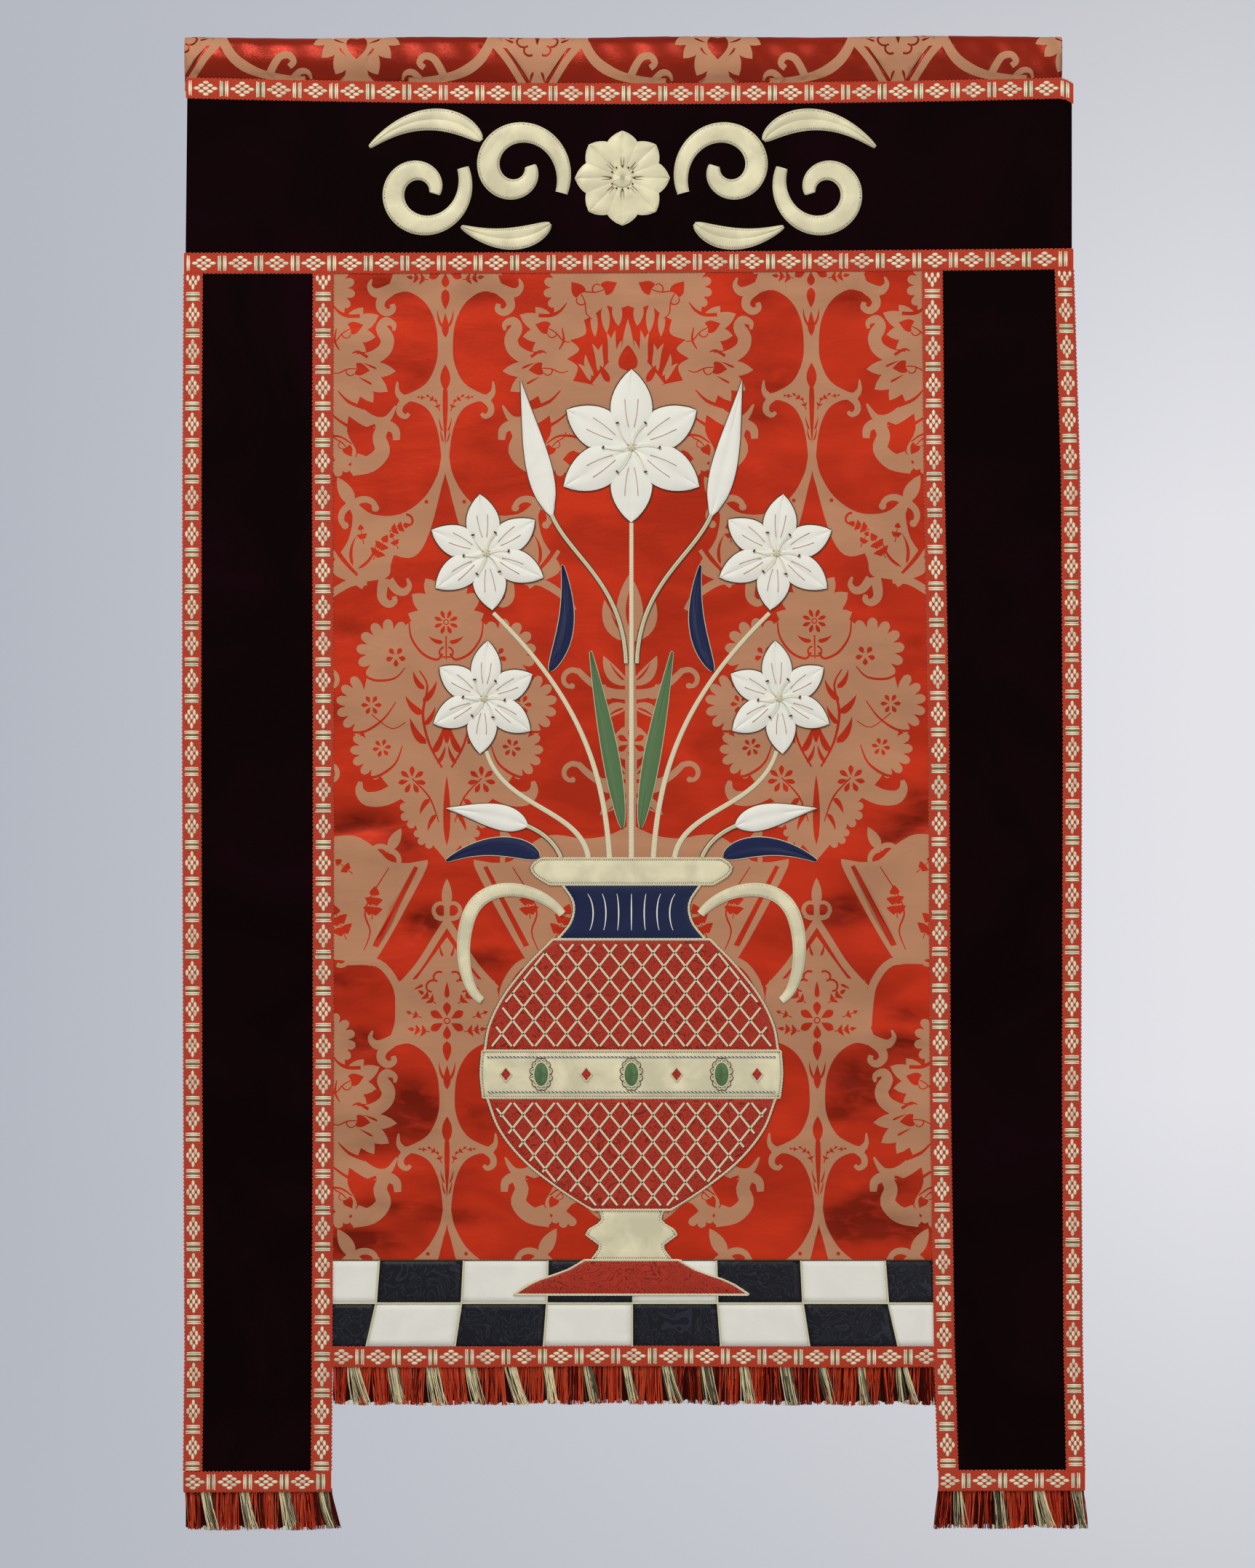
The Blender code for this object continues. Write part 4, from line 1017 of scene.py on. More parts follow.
def standard():
    """An upright with leaves and two pairs of curling arms, between the great leaves."""
    made = fawn(petal((0, 768), (0, 684), 17, 0, 0.8))
    made += fawn(stroke([(0, 750), (0, 1030)], (5, 8, 5)), petal((0, 1010), (0, 1062), 13))
    half = []
    for v in (838, 958):
        half += fawn(stroke([(2, v), (26, v - 3), (50, v - 16), (67, v - 32)], (7, 5, 3.6)))
        half += fawn(*hook((65, v - 30), (-62, 190), 8.0, 3.6))
        half += fawn(petal((3, v - 12), (34, v - 50), 9, 5, 0.8),
                     petal((3, v + 14), (40, v + 34), 8, -5, 0.8))
        half += fawn(*hook((22, v), (70, -150), 5.0, 3.0))
    half += fawn(petal((4, 770), (32, 716), 9, 7, 0.8))
    cuts = []
    for v in (838, 958):
        cuts += red(petal((7, v - 18), (26, v - 42), 1.6, 2), petal((8, v + 17), (31, v + 30), 1.6, -2))
    cuts += red(petal((9, 758), (24, 730), 1.6, 2))
    made += both(half) + fawn(disc((0, 900), 23)) + blossom((0, 900), 19, 6, 30, 4)
    made += red(petal((0, 752), (0, 704), 5, 0, 0.8), petal((0, 1018), (0, 1044), 3))
    return made + both(cuts)


def spade(centre, turn, size):
    """A red spade leaf on a thin curling stem."""
    angle = math.radians(turn)
    along, across = (math.cos(angle), math.sin(angle)), (-math.sin(angle), math.cos(angle))

    def spot(a, b):
        return tuple(centre[k] + size * (a * along[k] + b * across[k]) for k in (0, 1))

    head = [(*spot(13, 0), 1), spot(4, 6.5), spot(-3, 6.0), spot(-2, 1.0), (*spot(-4, 0), 1), spot(-2, -1.0),
            spot(-3, -6.0), spot(4, -6.5)]
    made = red(curve(head, True))
    made += red(stroke([spot(-3, 0), spot(-12, 2), spot(-22, 8), spot(-30, 7)], (0.7, 0.9, 0.6)))
    made += red(*hook(spot(-13, 2), (turn + 120, turn - 60), 2.6 * size, 0.8 * size))
    return made


def cartouche():
    """A shield with a wavy top, straight sides with a slot, and an arch under it."""
    shield = [(0, 1004, 1), (30, 1018), (62, 1022), (84, 1018), (108, 1018), (132, 1032), (152, 1050),
              (176, 1052, 1), (199, 1048, 1), (192, 1070), (136, 1172), (118, 1182), (84, 1176), (44, 1182),
              (0, 1204, 1)]
    half = fawn(curve(shield, True))
    half += fleur((150, 1036), -62, 0.95)
    half += fawn(stroke([(96, 1178), (136, 1180), (158, 1206), (164, 1236), (166, 1262)], (5, 5, 5)))
    half += fawn(*hook((84, 1182), (60, -150), 4.4, 3.0))
    return both(half)


def cartouche_cuts():
    half = red([(182, 1056), (187, 1058), (136, 1160), (129, 1158)])
    half += red(stroke([(150, 1058), (120, 1110), (126, 1140), (118, 1164)], (0.6, 1.2, 0.6)))
    half += sprig((128, 1124), -84, 30, 2, 5.4, 62) + sprig((96, 1150), -112, 34, 2, 5.6, 62)
    half += sprig((60, 1164), -96, 30, 2, 5.0, 60) + sprig((64, 1092), -70, 26, 2, 5.0, 60)
    half += sprig((104, 1066), -140, 20, 1, 4.2, 60) + sprig((24, 1120), -60, 24, 2, 4.2, 58)
    made = red(petal((0, 1176), (0, 1100), 9, 0, 0.6)) + blossom((0, 1064), 22, 8, 0, 6)
    return made + both(half)


REPEAT = 962.0
SIDE_COLUMNS = (-233.0, 234.0)
MIDDLE_COLUMNS = (-456.0, 0.0, 464.0)
SLEEVE_SIDE_COLUMNS = (-576.0, -116.0, 344.0)
SLEEVE_MIDDLE_COLUMNS = (-346.0, 114.0, 574.0)
SLEEVE_FIGURE_FOOT = 1142.0


def hanging_leaves():
    """What the sleeve shows between its scrolled panels: leaves round a red heart, and two vines."""
    made = fawn([(-26, 1156), (-15, 1166), (-12, 1178), (-20, 1200), (20, 1200), (12, 1178), (15, 1166),
                 (26, 1156)])
    half = fawn(petal((6, 1206), (27, 1167), 12, 0, 1.0), petal((16, 1216), (44, 1187), 10, 0, 1.0))
    half += fawn(petal((22, 1224), (55, 1204), 9, 0, 1.0), petal((26, 1232), (72, 1222), 9, 0, 1.0))
    half += fawn(stroke([(176, 1236), (170, 1208), (155, 1184), (128, 1168), (95, 1161), (66, 1160)],
                        (6, 6.5, 3.5)))
    half += fawn(stroke([(112, 1164), (105, 1178), (97, 1188), (86, 1190), (80, 1182), (86, 1176)],
                        (5, 4.4, 3.6)))
    half += fawn(stroke([(82, 1160), (72, 1170), (62, 1169), (58, 1160)], (4.5, 3.8, 1.4)))
    made += both(half) + fawn(disc((0, 1224), 32, 20))
    made += red(petal((0, 1186), (-9, 1217), 10, -2, 1.2), petal((0, 1186), (9, 1217), 10, 2, 1.2))
    cuts = red(petal((30, 1214), (14, 1206), 1.6, 1), petal((22, 1200), (13, 1190), 1.4, 1))
    return made + both(cuts)


def columns_of_figure(side_columns, middle_columns, shifts, place, between_columns):
    """Outlines of the fawn figure and the red cuts in it, with a colour number each."""
    side = necks() + branches() + palmette() + finial() + neck_cuts() + palmette_cuts()
    middle = standard() + great_leaf() + between_columns + great_leaf_cuts()
    made = []
    for columns, shapes in ((middle_columns, middle), (side_columns, side)):
        for column in columns:
            for shift in shifts:
                for outline, colour in shapes:
                    made.append(([place(column + u, v + shift) for u, v in outline], colour))
    return made


def panel_figure():
    def place(u, v):
        return u / 1000, -v / 1000
    return columns_of_figure(SIDE_COLUMNS, MIDDLE_COLUMNS, (-REPEAT, 0.0, REPEAT), place,
                             cartouche() + cartouche_cuts())


def sleeve_figure():
    """The same cloth turned upside down."""
    def place(u, v):
        return u / 1000, (v - SLEEVE_FIGURE_FOOT) / 1000
    return columns_of_figure(SLEEVE_SIDE_COLUMNS, SLEEVE_MIDDLE_COLUMNS, (0.0,), place, hanging_leaves())


def damask_panel(red, fawn):
    top = heading_foot(0.0) + 0.004
    foot = CENTRE_FOOT - HEM_BELOW_BRAID_MIDDLE
    flat, faces, colours = painted_cloth(PANEL_LEFT, PANEL_RIGHT, top, foot, PANEL_CELL, panel_figure())
    shape = Shape()
    half = BRAID_WIDTH / 2
    for s, t in flat:
        share = (s - PANEL_LEFT) / (PANEL_RIGHT - PANEL_LEFT)
        down = (top - t) / (top - foot)
        left, right = hang("left_inner", t) - half, hang("right_inner", t) + half
        x = left + share * (right - left)
        z = (heading_foot(x) - GAP / 2) * (1 - down) + (centre_foot(x) - HEM_BELOW_BRAID_MIDDLE) * down
        shape.point(x, drape(x, z) - CLOTH / 2, z, x, z)
    for face, colour in zip(faces, colours):
        shape.face(*(int(corner) for corner in face), look=int(colour))
    made = piece("damask_panel", shape, [red, fawn], ["centre_panel"], "vermilion_damask", VISIBLE_CLOTH,
                 reverse=[fawn, red])
    # Painted shade of the creases, kept on each point for the damask looks
    shade = made.data.attributes.new("crease", "FLOAT", "POINT")
    shade.data.foreach_set("value", [crease_shade(x, z) for x, _, z in shape.points])
    return made


# The pole sleeve

SLEEVE_LEFT = -0.5655
SLEEVE_RIGHT = 0.5530
SLEEVE_WALL = 0.0015
SLEEVE_DEPTH = 0.034
SLEEVE_BEHIND = 0.0095
SLEEVE_TAB = 0.016
SLEEVE_TAB_DEPTH = 0.0050
SLEEVE_ROUND = 0.165


def sleeve_section(x):
    """The outer loop of the sleeve, from its front foot over the top to its back foot."""
    share = (x - SLEEVE_LEFT) / (SLEEVE_RIGHT - SLEEVE_LEFT)
    top = 0.0022 * share - 0.0009 + 0.0009 * math.cos(7 * math.pi * share)
    seam = HEADING_TOP - HEADING_TOP_SAG * (1 - (x / HALF_WIDTH) ** 2)
    tall = (top - seam) / 2
    deep = SLEEVE_DEPTH / 2 + 0.0011 * math.sin(11 * share + 0.6)
    middle = SLEEVE_BEHIND + 0.0006 * math.sin(17 * share)
    points = []
    for angle in steps(-150, 150, 30):
        turn = math.radians(angle)
        points.append((middle + deep * math.sin(turn), top - tall + tall * math.cos(turn)))
    touching = CLOTH / 2 + GAP
    points[0] = (touching, points[0][1])
    foot = seam - SLEEVE_TAB
    behind = touching + SLEEVE_TAB_DEPTH
    return [(touching, foot)] + points + [(behind + 0.0035, seam + 0.001), (behind, foot)]


def sleeve_place(x, along):
    """The spot on the sleeve at a share of the way round its section."""
    section = sleeve_section(x)
    lengths = [0.0]
    for (y1, z1), (y2, z2) in zip(section, section[1:]):
        lengths.append(lengths[-1] + math.hypot(y2 - y1, z2 - z1))
    goal = along * lengths[-1]
    for i in range(1, len(section)):
        if goal <= lengths[i] or i == len(section) - 1:
            share = (goal - lengths[i - 1]) / (lengths[i] - lengths[i - 1])
            (y1, z1), (y2, z2) = section[i - 1], section[i]
            return y1 + share * (y2 - y1), z1 + share * (z2 - z1)


def sleeve(red, fawn):
    flat, faces, colours = painted_cloth(SLEEVE_LEFT, SLEEVE_RIGHT, SLEEVE_ROUND, 0.0, 0.006,
                                         sleeve_figure())
    shape = Shape()
    for x, along in flat:
        y, z = sleeve_place(x, along / SLEEVE_ROUND)
        end = min(x - SLEEVE_LEFT, SLEEVE_RIGHT - x)
        loose = math.sin(math.pi * min(max((along - 0.016) / 0.085, 0.0), 1.0))
        pucker = 0.0006 * math.sin(150 * x + 60 * along) + 0.0005 * math.sin(67 * x - 45 * along + 1)
        pucker += 0.0022 * math.exp(-end / 0.03) * math.sin(230 * x + 70 * along)
        shape.point(x, y - pucker * loose, z - 0.4 * pucker * loose, x, along)
    for face, colour in zip(faces, colours):
        shape.face(*(int(corner) for corner in face), look=int(colour))
    return piece("damask_sleeve", shape, [red, fawn], ["pole_sleeve"], "vermilion_damask", SLEEVE_WALL,
                 reverse=[fawn, red])


# Braid

BRAID_REPEAT = 0.0466
LOOP_PITCH = 0.0050
BRAID_CROWN = 0.0004
Stitch = namedtuple("Stitch", "along across wide tall")
LOZENGE = [
    Stitch(0.0000, 0.0074, 0.0044, 0.0023), Stitch(0.0000, -0.0074, 0.0044, 0.0023),
    Stitch(-0.0055, 0.0037, 0.0044, 0.0024), Stitch(0.0055, 0.0037, 0.0044, 0.0024),
    Stitch(-0.0055, -0.0037, 0.0044, 0.0024), Stitch(0.0055, -0.0037, 0.0044, 0.0024),
    Stitch(0.0000, 0.0000, 0.0042, 0.0025),
    Stitch(-0.0112, 0.0000, 0.0046, 0.0024), Stitch(0.0112, 0.0000, 0.0046, 0.0024),
]
BAR_OFFSET = 0.0035
BAR_HALF = 0.0023
BAR_REACH = 0.0112
BAR_THREADS = 2
OVERHANG = 0.0018
LEVEL_START = 0.0253
SIDE_START = 0.006
FOOT_START = 0.012


def braid_strip(name, path, length, start, halves, node, looks):
    """A woven braid along a path; path gives the place of any point along and across it."""
    shape = Shape()
    low, high = halves
    rng = random.Random(name)
    face = ON_CLOTH + BRAID - BRAID_CROWN

    def lift(across):
        share = (across - low) / (high - low) * 2 - 1
        return face + BRAID_CROWN * (1 - share ** 4)

    across = [low + (high - low) * share for share in (0.0, 0.03, 0.12, 0.3, 0.5, 0.7, 0.88, 0.97, 1.0)]
    rows = []
    count = max(round(length / 0.010), 2)
    for along in steps(0.0, length, count):
        row = [shape.point(*path(along, low, ON_CLOTH), along, low)]
        row += [shape.point(*path(along, v, lift(v)), along, v) for v in across]
        row.append(shape.point(*path(along, high, ON_CLOTH), along, high))
        rows.append(row)
    for before, after in zip(rows, rows[1:]):
        for i in range(len(before) - 1):
            shape.face(before[i], before[i + 1], after[i + 1], after[i])
    for end in (rows[0], rows[-1]):
        shape.face(*(end if end is rows[0] else reversed(end)))

    loops = int(length / LOOP_PITCH)
    for side, edge in ((-1, low), (1, high)):
        for i in range(loops):
            along = (i + 0.5) * length / loops + rng.uniform(-0.0004, 0.0004)
            wide = 0.0021 + rng.uniform(-0.0002, 0.0002)
            ring = []
            for k in range(5):
                angle = math.pi * k / 4
                out = edge + side * 0.0015 * math.sin(angle) - side * 0.0004
                place = path(along + wide * math.cos(angle), out, ON_CLOTH + 0.0005)
                ring.append(shape.point(*place, along, out))
            crown = shape.point(*path(along, edge + side * 0.0002, ON_CLOTH + 0.0019), along, edge)
            for k in range(4):
                corners = (ring[k], ring[k + 1], crown)
                shape.face(*corners if side > 0 else reversed(corners), look=1)

    def stitch(along, v, wide, tall, look=2):
        ring, shoulder = [], []
        base = lift(v) - 0.0001
        for k in range(6):
            angle = 2 * math.pi * k / 6
            du, dv = wide * math.cos(angle), tall * math.sin(angle)
            ring.append(shape.point(*path(along + du, v + dv, base), along + du, v + dv))
            shoulder.append(shape.point(*path(along + 0.7 * du, v + 0.7 * dv, base + 0.0007), along, v))
        crown = shape.point(*path(along, v, base + 0.0009), along, v)
        for k in range(6):
            j = (k + 1) % 6
            shape.face(ring[j], ring[k], shoulder[k], shoulder[j], look=look)
            shape.face(shoulder[j], shoulder[k], crown, look=look)

    middle = (low + high) / 2
    narrow = (high - low) / BRAID_WIDTH
    first = math.floor(-start / BRAID_REPEAT) - 1
    for i in range(first, first + int(length / BRAID_REPEAT) + 4):
        lozenge, bars = start + i * BRAID_REPEAT, start + (i + 0.5) * BRAID_REPEAT
        for row in LOZENGE:
            along = lozenge + row.along + rng.uniform(-0.0002, 0.0002)
            if row.wide < along < length - row.wide:
                wide = row.wide * rng.uniform(0.94, 1.04)
                stitch(along, middle + row.across * narrow, wide, row.tall * narrow)
        for offset in (-BAR_OFFSET, BAR_OFFSET):
            along = bars + offset
            if not BAR_HALF < along < length - BAR_HALF:
                continue
            for k in range(BAR_THREADS):
                u = along + BAR_HALF * (2 * (k + 0.5) / BAR_THREADS - 1)
                reach = BAR_REACH * narrow * rng.uniform(0.95, 1.05)
                stitch(u, middle, BAR_HALF / BAR_THREADS * 1.15, reach)
        if BAR_OFFSET < bars < length - BAR_OFFSET:
            stitch(bars, middle, 0.0010, 0.96 * BAR_REACH * narrow, 3)
    return piece(name, shape, looks, [node], "woven_braid", sharp=60)


def level_braid(line, left):
    """A path along a level line, with across pointing up."""
    def path(along, across, forward):
        x = left + along
        z = line(x) + across
        return on_cloth(x, z, forward)
    return path


def upright_braid(line, top, outward):
    """A path down a hang line, with across pointing away from it."""
    def path(along, across, forward):
        z = top - along
        return on_cloth(hang(line, z) + outward * across, z, forward)
    return path


def braids(looks):
    half = BRAID_WIDTH / 2
    left, right = ends("left_edge", "right_edge", HEADING_TOP, (OVERHANG, OVERHANG))
    middle = level(heading_top, -half)
    braid_strip("trim_top", level_braid(middle, left), right - left, LEVEL_START, (-half, half), "braid_top",
                looks)
    left, right = ends("left_edge", "right_edge", HEADING_FOOT, (OVERHANG, OVERHANG))
    braid_strip("trim_heading_foot", level_braid(heading_foot, left), right - left, LEVEL_START,
                (-half, half), "braid_heading_foot", looks)
    for side, sign in (("left", -1), ("right", 1)):
        rows = (
            ("inner", f"{side}_inner", sign, (0.0, BRAID_WIDTH)),
            ("outer", f"{side}_edge", -sign, (-OVERHANG, EDGE_BRAID_WIDTH)),
        )
        for word, line, outward, halves in rows:
            top = heading_foot(hang(line, HEADING_FOOT)) - half - GAP
            length = top - (LAPPET_FOOT + half)
            braid_strip(f"trim_{side}_{word}", upright_braid(line, top, outward), length, SIDE_START, halves,
                        f"braid_{side}_{word}", looks)
    spans = (
        ("left", *ends("left_edge", "left_inner", LAPPET_FOOT, (OVERHANG, 0.0)), lappet_foot),
        ("right", *ends("right_inner", "right_edge", LAPPET_FOOT, (0.0, OVERHANG)), lappet_foot),
        ("centre", *ends("left_inner", "right_inner", CENTRE_FOOT), centre_foot),
    )
    for side, left, right, line in spans:
        braid_strip(f"trim_{side}_foot", level_braid(line, left), right - left, FOOT_START, (-half, half),
                    f"braid_{side}_foot", looks)


# Fringe

FRINGE_LENGTH = 0.0545
ROOT_BELOW_LINE = 0.0095
ROOT_SHADE = 0.011
STRAND_PITCH = 0.00031
STRAND_RADIUS = 0.00066
# How far down the dark sheet of painted shade behind the strands reaches, and up to which layer strands take
# the painted-shade colour
SHADE_SHEET_SHARE = 0.88
BACK_LAYER = 0.28
PAINTED_SHADE_LAYER = 0.48
BUNCH_PITCH = 0.0500
GOLD_BUNCH = 0.0125
TUFT = 0.0125
LEFT_FLARE = (0.000, 0.015)
RIGHT_FLARE = (0.007, 0.008)


def fringe(name, left, right, line, flare, node, looks, seed):
    """Cut yarns in front of each other, with slanting gold bunches among the red."""
    rng = random.Random(seed)
    shape = Shape()

    def flared(x):
        share = 2 * (x - left) / (right - left) - 1
        return flare[0] * min(share, 0.0) ** 3 + flare[1] * max(share, 0.0) ** 3

    # A dark sheet behind the strands, in the painted-shade colour: painted shade between them
    shade_sheet = []
    for x in steps(left + 0.001, right - 0.001, round((right - left) / 0.004)):
        spread = flared(x)
        column = []
        for t in steps(0.0, SHADE_SHEET_SHARE + rng.uniform(-0.04, 0.04), 5):
            z = line(x) - ROOT_BELOW_LINE - FRINGE_LENGTH * t
            column.append(shape.point(x + spread * t, drape(x, line(x)) + 0.0016, z, 0.0005, x))
        shade_sheet.append(column)
    shape.grid(shade_sheet, 0)
    # Each tuft leans its own way and gives a share of its strands the painted-shade colour
    leans = [(rng.gauss(0.0, 0.0026), rng.uniform(0.7, 1.3), rng.choice((0.05, 0.2, 0.55)))
             for _ in range(int((right - left) / TUFT) + 2)]
    bunches = [(rng.uniform(0.006, 0.0125), rng.uniform(0.75, 1.3))
               for _ in range(int((right - left) / BUNCH_PITCH) + 2)]
    count = round((right - left) / STRAND_PITCH)
    for i in range(count):
        x = left + (right - left) * (i + rng.random()) / count
        number, phase = divmod(x - left + 0.031, BUNCH_PITCH)
        bunch_lean, bunch_size = bunches[int(number)]
        gold = phase < GOLD_BUNCH * bunch_size
        tuft, within = divmod((x - left) / TUFT, 1.0)
        lean, loose, painted_shade_share = leans[int(tuft)]
        layer = rng.random()
        top = line(x) - ROOT_BELOW_LINE
        root_y = drape(x, line(x)) + 0.0028 - 0.0034 * layer
        long = FRINGE_LENGTH - 0.0028 + rng.gauss(0.0, 0.0006) + 0.0009 * math.sin(70 * x)
        slant = rng.gauss(0.0, 0.0012) + lean - 0.0022 * loose * (within - 0.5)
        forward = 0.0010 * layer
        if layer < BACK_LAYER:
            forward = -0.0004
        elif gold and x + 0.011 < right:
            slant += bunch_lean + rng.gauss(0.0, 0.0020)
            forward += 0.0036
        elif rng.random() < 0.03:
            slant += rng.uniform(-0.008, 0.009)
            forward += 0.002
        spread = flared(x)
        bow = rng.gauss(0.0, 0.0009)
        points = []
        for t in (0.0, 0.15, 0.45, 0.75, 1.0):
            px = x + (slant + spread) * t ** 1.25 + bow * math.sin(math.pi * t)
            py = root_y - forward * math.sin(math.pi * min(t * 1.1, 1.0)) ** 0.7
            points.append((px, py, top - long * t + 0.0006 * layer))
        # Middle layers and a share of each tuft take the painted-shade colour, the rest the plain or
        # painted-highlight colour
        shade = 0 if BACK_LAYER < layer < PAINTED_SHADE_LAYER or rng.random() < painted_shade_share else rng.choice((1, 2, 2))
        shade += 3 if gold else 0
        thin = STRAND_RADIUS * rng.uniform(0.75, 1.35)
        shape.tube(points, lambda t: thin * (1 - 0.35 * t), 3, shade)
    return piece(name, shape, looks, [node], "fringe_yarn", sharp=80)


def fringes():
    # Shaded and lit copies of the red and gold yarns: painted shade, the plain colour and painted highlight
    yarns = (
        ("yarn_red_deep", darker(FRINGE_RED, 0.18)),
        ("yarn_red", FRINGE_RED),
        ("yarn_red_bright", FRINGE_RED_HIGHLIGHT),
        ("yarn_gold_deep", darker(FRINGE_GOLD, 0.18)),
        ("yarn_gold", darker(FRINGE_GOLD, 0.72)),
        ("yarn_gold_bright", darker(FRINGE_GOLD, 1.40)),
    )
    looks = [yarn_look(name, colour) for name, colour in yarns]
    spans = (
        ("centre", *ends("left_inner", "right_inner", CENTRE_FOOT), centre_foot, (0.0, 0.0), 3),
        ("left", *ends("left_edge", "left_inner", LAPPET_FOOT), lappet_foot, LEFT_FLARE, 5),
        ("right", *ends("right_inner", "right_edge", LAPPET_FOOT), lappet_foot, RIGHT_FLARE, 8),
    )
    return {side: fringe(f"threads_{side}", left, right, line, flare, f"fringe_{side}", looks, seed)
            for side, left, right, line, flare, seed in spans}


# The pavement of patches

ROW_MIDDLE = -1.6160
PAVEMENT_FOOT = CENTRE_FOOT + BRAID_WIDTH / 2 + GAP
PAVEMENT_AXIS = 0.0050
PITCH_TOP = 0.1074
PITCH_MIDDLE = 0.1088
PITCH_FOOT = 0.1130
SEAM_CORD = 0.0011


def patch_edge(number, z):
    """Where a seam between patches runs; the seams lean out towards the foot."""
    if z >= ROW_MIDDLE:
        share = (BAND_TOP - z) / (BAND_TOP - ROW_MIDDLE)
        pitch = PITCH_TOP + share * (PITCH_MIDDLE - PITCH_TOP)
    else:
        share = (ROW_MIDDLE - z) / (ROW_MIDDLE - PAVEMENT_FOOT)
        pitch = PITCH_MIDDLE + share * (PITCH_FOOT - PITCH_MIDDLE)
    return PAVEMENT_AXIS + number * pitch


def pavement(ivory, black, cord, brown):
    shape = Shape()
    face = ON_CLOTH + BAND
    for row, (top, foot) in enumerate(((BAND_TOP, ROW_MIDDLE), (ROW_MIDDLE, PAVEMENT_FOOT))):
        for number in range(-4, 4):
            look = (number + row) % 2
            points = []
            for z in steps(top, foot, 6):
                left = max(patch_edge(number, z), hang("left_inner", z) + GAP)
                right = min(patch_edge(number + 1, z), hang("right_inner", z) - GAP)
                if right - left < 0.0005:
                    break
                points.append([shape.point(x, drape(x, z) - face, z, x, z) for x in steps(left, right, 10)])
            shape.grid(points, look)
    piece("pavement", shape, [ivory, black], ["chequer_band"], "chequer_silk", BAND)

    cords = Shape()

    def couch(line, radius, look):
        path = [(x, drape(x, z) - face - 0.5 * radius, z) for x, z in line]
        cords.tube(even(path, 0.0018), radius, 6, look, 0.2, 0.004)

    ends = [hang("left_inner", ROW_MIDDLE) + 0.001, hang("right_inner", ROW_MIDDLE) - 0.001]
    couch([(x, ROW_MIDDLE) for x in steps(*ends, 60)], SEAM_CORD, 0)
    for left, right in ((ends[0], AXIS - 0.064), (AXIS + 0.064, ends[1])):
        couch([(x, BAND_TOP - 0.0006) for x in steps(left, right, 30)], 0.0007, 1)
    for top, foot in ((BAND_TOP, ROW_MIDDLE), (ROW_MIDDLE, PAVEMENT_FOOT)):
        for number in range(-3, 4):
            line = [(patch_edge(number, z), z) for z in steps(top - 0.001, foot, 12)]
            if top == BAND_TOP:
                line = [(x, z) for x, z in line
                        if z < FOOT[-1][0] - 0.002 or abs(x - AXIS) > half_at(FOOT, z) + 0.003]
            inside = [(x, z) for x, z in line if ends[0] < x < ends[1]]
            if len(inside) > 2:
                couch(inside, SEAM_CORD, 0)
    piece("pavement_cords", cords, [cord, brown], None, "gold_cream_silk")


# Applique


def bezier(start, pull, push, end, count):
    points = []
    for t in steps(0.0, 1.0, count):
        weights = ((1 - t) ** 3, 3 * t * (1 - t) ** 2, 3 * t * t * (1 - t), t ** 3)
        corners = (start, pull, push, end)
        points.append(tuple(sum(w * c[k] for w, c in zip(weights, corners)) for k in (0, 1)))
    return points


def spiral(centre, radius_from, radius_to, angle_from, angle_to, count):
    points = []
    for t in steps(0.0, 1.0, count):
        radius = radius_from * (radius_to / radius_from) ** t
        angle = math.radians(angle_from + (angle_to - angle_from) * t)
        points.append((centre[0] + radius * math.cos(angle), centre[1] + radius * math.sin(angle)))
    return points


def mirrored(points, side):
    return [(side * x, z) for x, z in points]


def leaf_width(widest):
    return lambda t: widest * (0.12 + 0.88 * math.sin(math.pi * t ** 0.8) ** 0.8)


def scroll_width(widest):
    return lambda t: widest * (0.22 + 0.78 * math.sin(math.pi * min(0.08 + 0.85 * t, 1.0)) ** 0.7)


def bud_width(stalk, widest, swell):
    def width(t):
        if t < swell:
            return stalk
        share = (t - swell) / (1 - swell)
        return stalk * (1 - share) + widest * math.sin(math.pi * share ** 0.75) + 0.0004 * share
    return width


def ribbon_edges(line, half_width):
    """The centre, direction across and half width at each point of a line."""
    stations = []
    for i, (x, z) in enumerate(line):
        before, after = line[max(i - 1, 0)], line[min(i + 1, len(line) - 1)]
        run = math.hypot(after[0] - before[0], after[1] - before[1])
        across = ((after[1] - before[1]) / run, -(after[0] - before[0]) / run)
        stations.append(((x, z), across, half_width(i / (len(line) - 1))))
    return stations


ROUNDED = [(-1.0, 0.0), (-1.0, 0.30), (-0.92, 0.58), (-0.70, 0.82), (-0.35, 0.96), (0.0, 1.0),
           (0.35, 0.96), (0.70, 0.82), (0.92, 0.58), (1.0, 0.30), (1.0, 0.0)]
CREASED = [(-1.0, 0.0), (-1.0, 0.30), (-0.88, 0.62), (-0.62, 0.88), (-0.25, 0.92), (0.0, 0.50),
           (0.25, 0.92), (0.62, 0.88), (0.88, 0.62), (1.0, 0.30), (1.0, 0.0)]
EDGE_CORD = 0.0008
CORD_LOBES = 0.22
CORD_PLY = 0.0035
TIE_PITCH = 0.0028
TIE_INSET = 0.0019


def tie_stitches(shape, edge, inward, lift, look):
    """Small stitches across an edge, just inside it; inward gives the way in at each point."""
    left = 0.0
    for i in range(1, len(edge)):
        left += math.dist(edge[i], edge[i - 1])
        if left >= TIE_PITCH:
            left -= TIE_PITCH
            x, z = edge[i]
            dx, dz = inward[i]
            turn = math.atan2(dz, dx)
            shape.bead((x + dx * TIE_INSET, -lift, z + dz * TIE_INSET), 0.0010, 0.00042, 0.0006, look, turn)


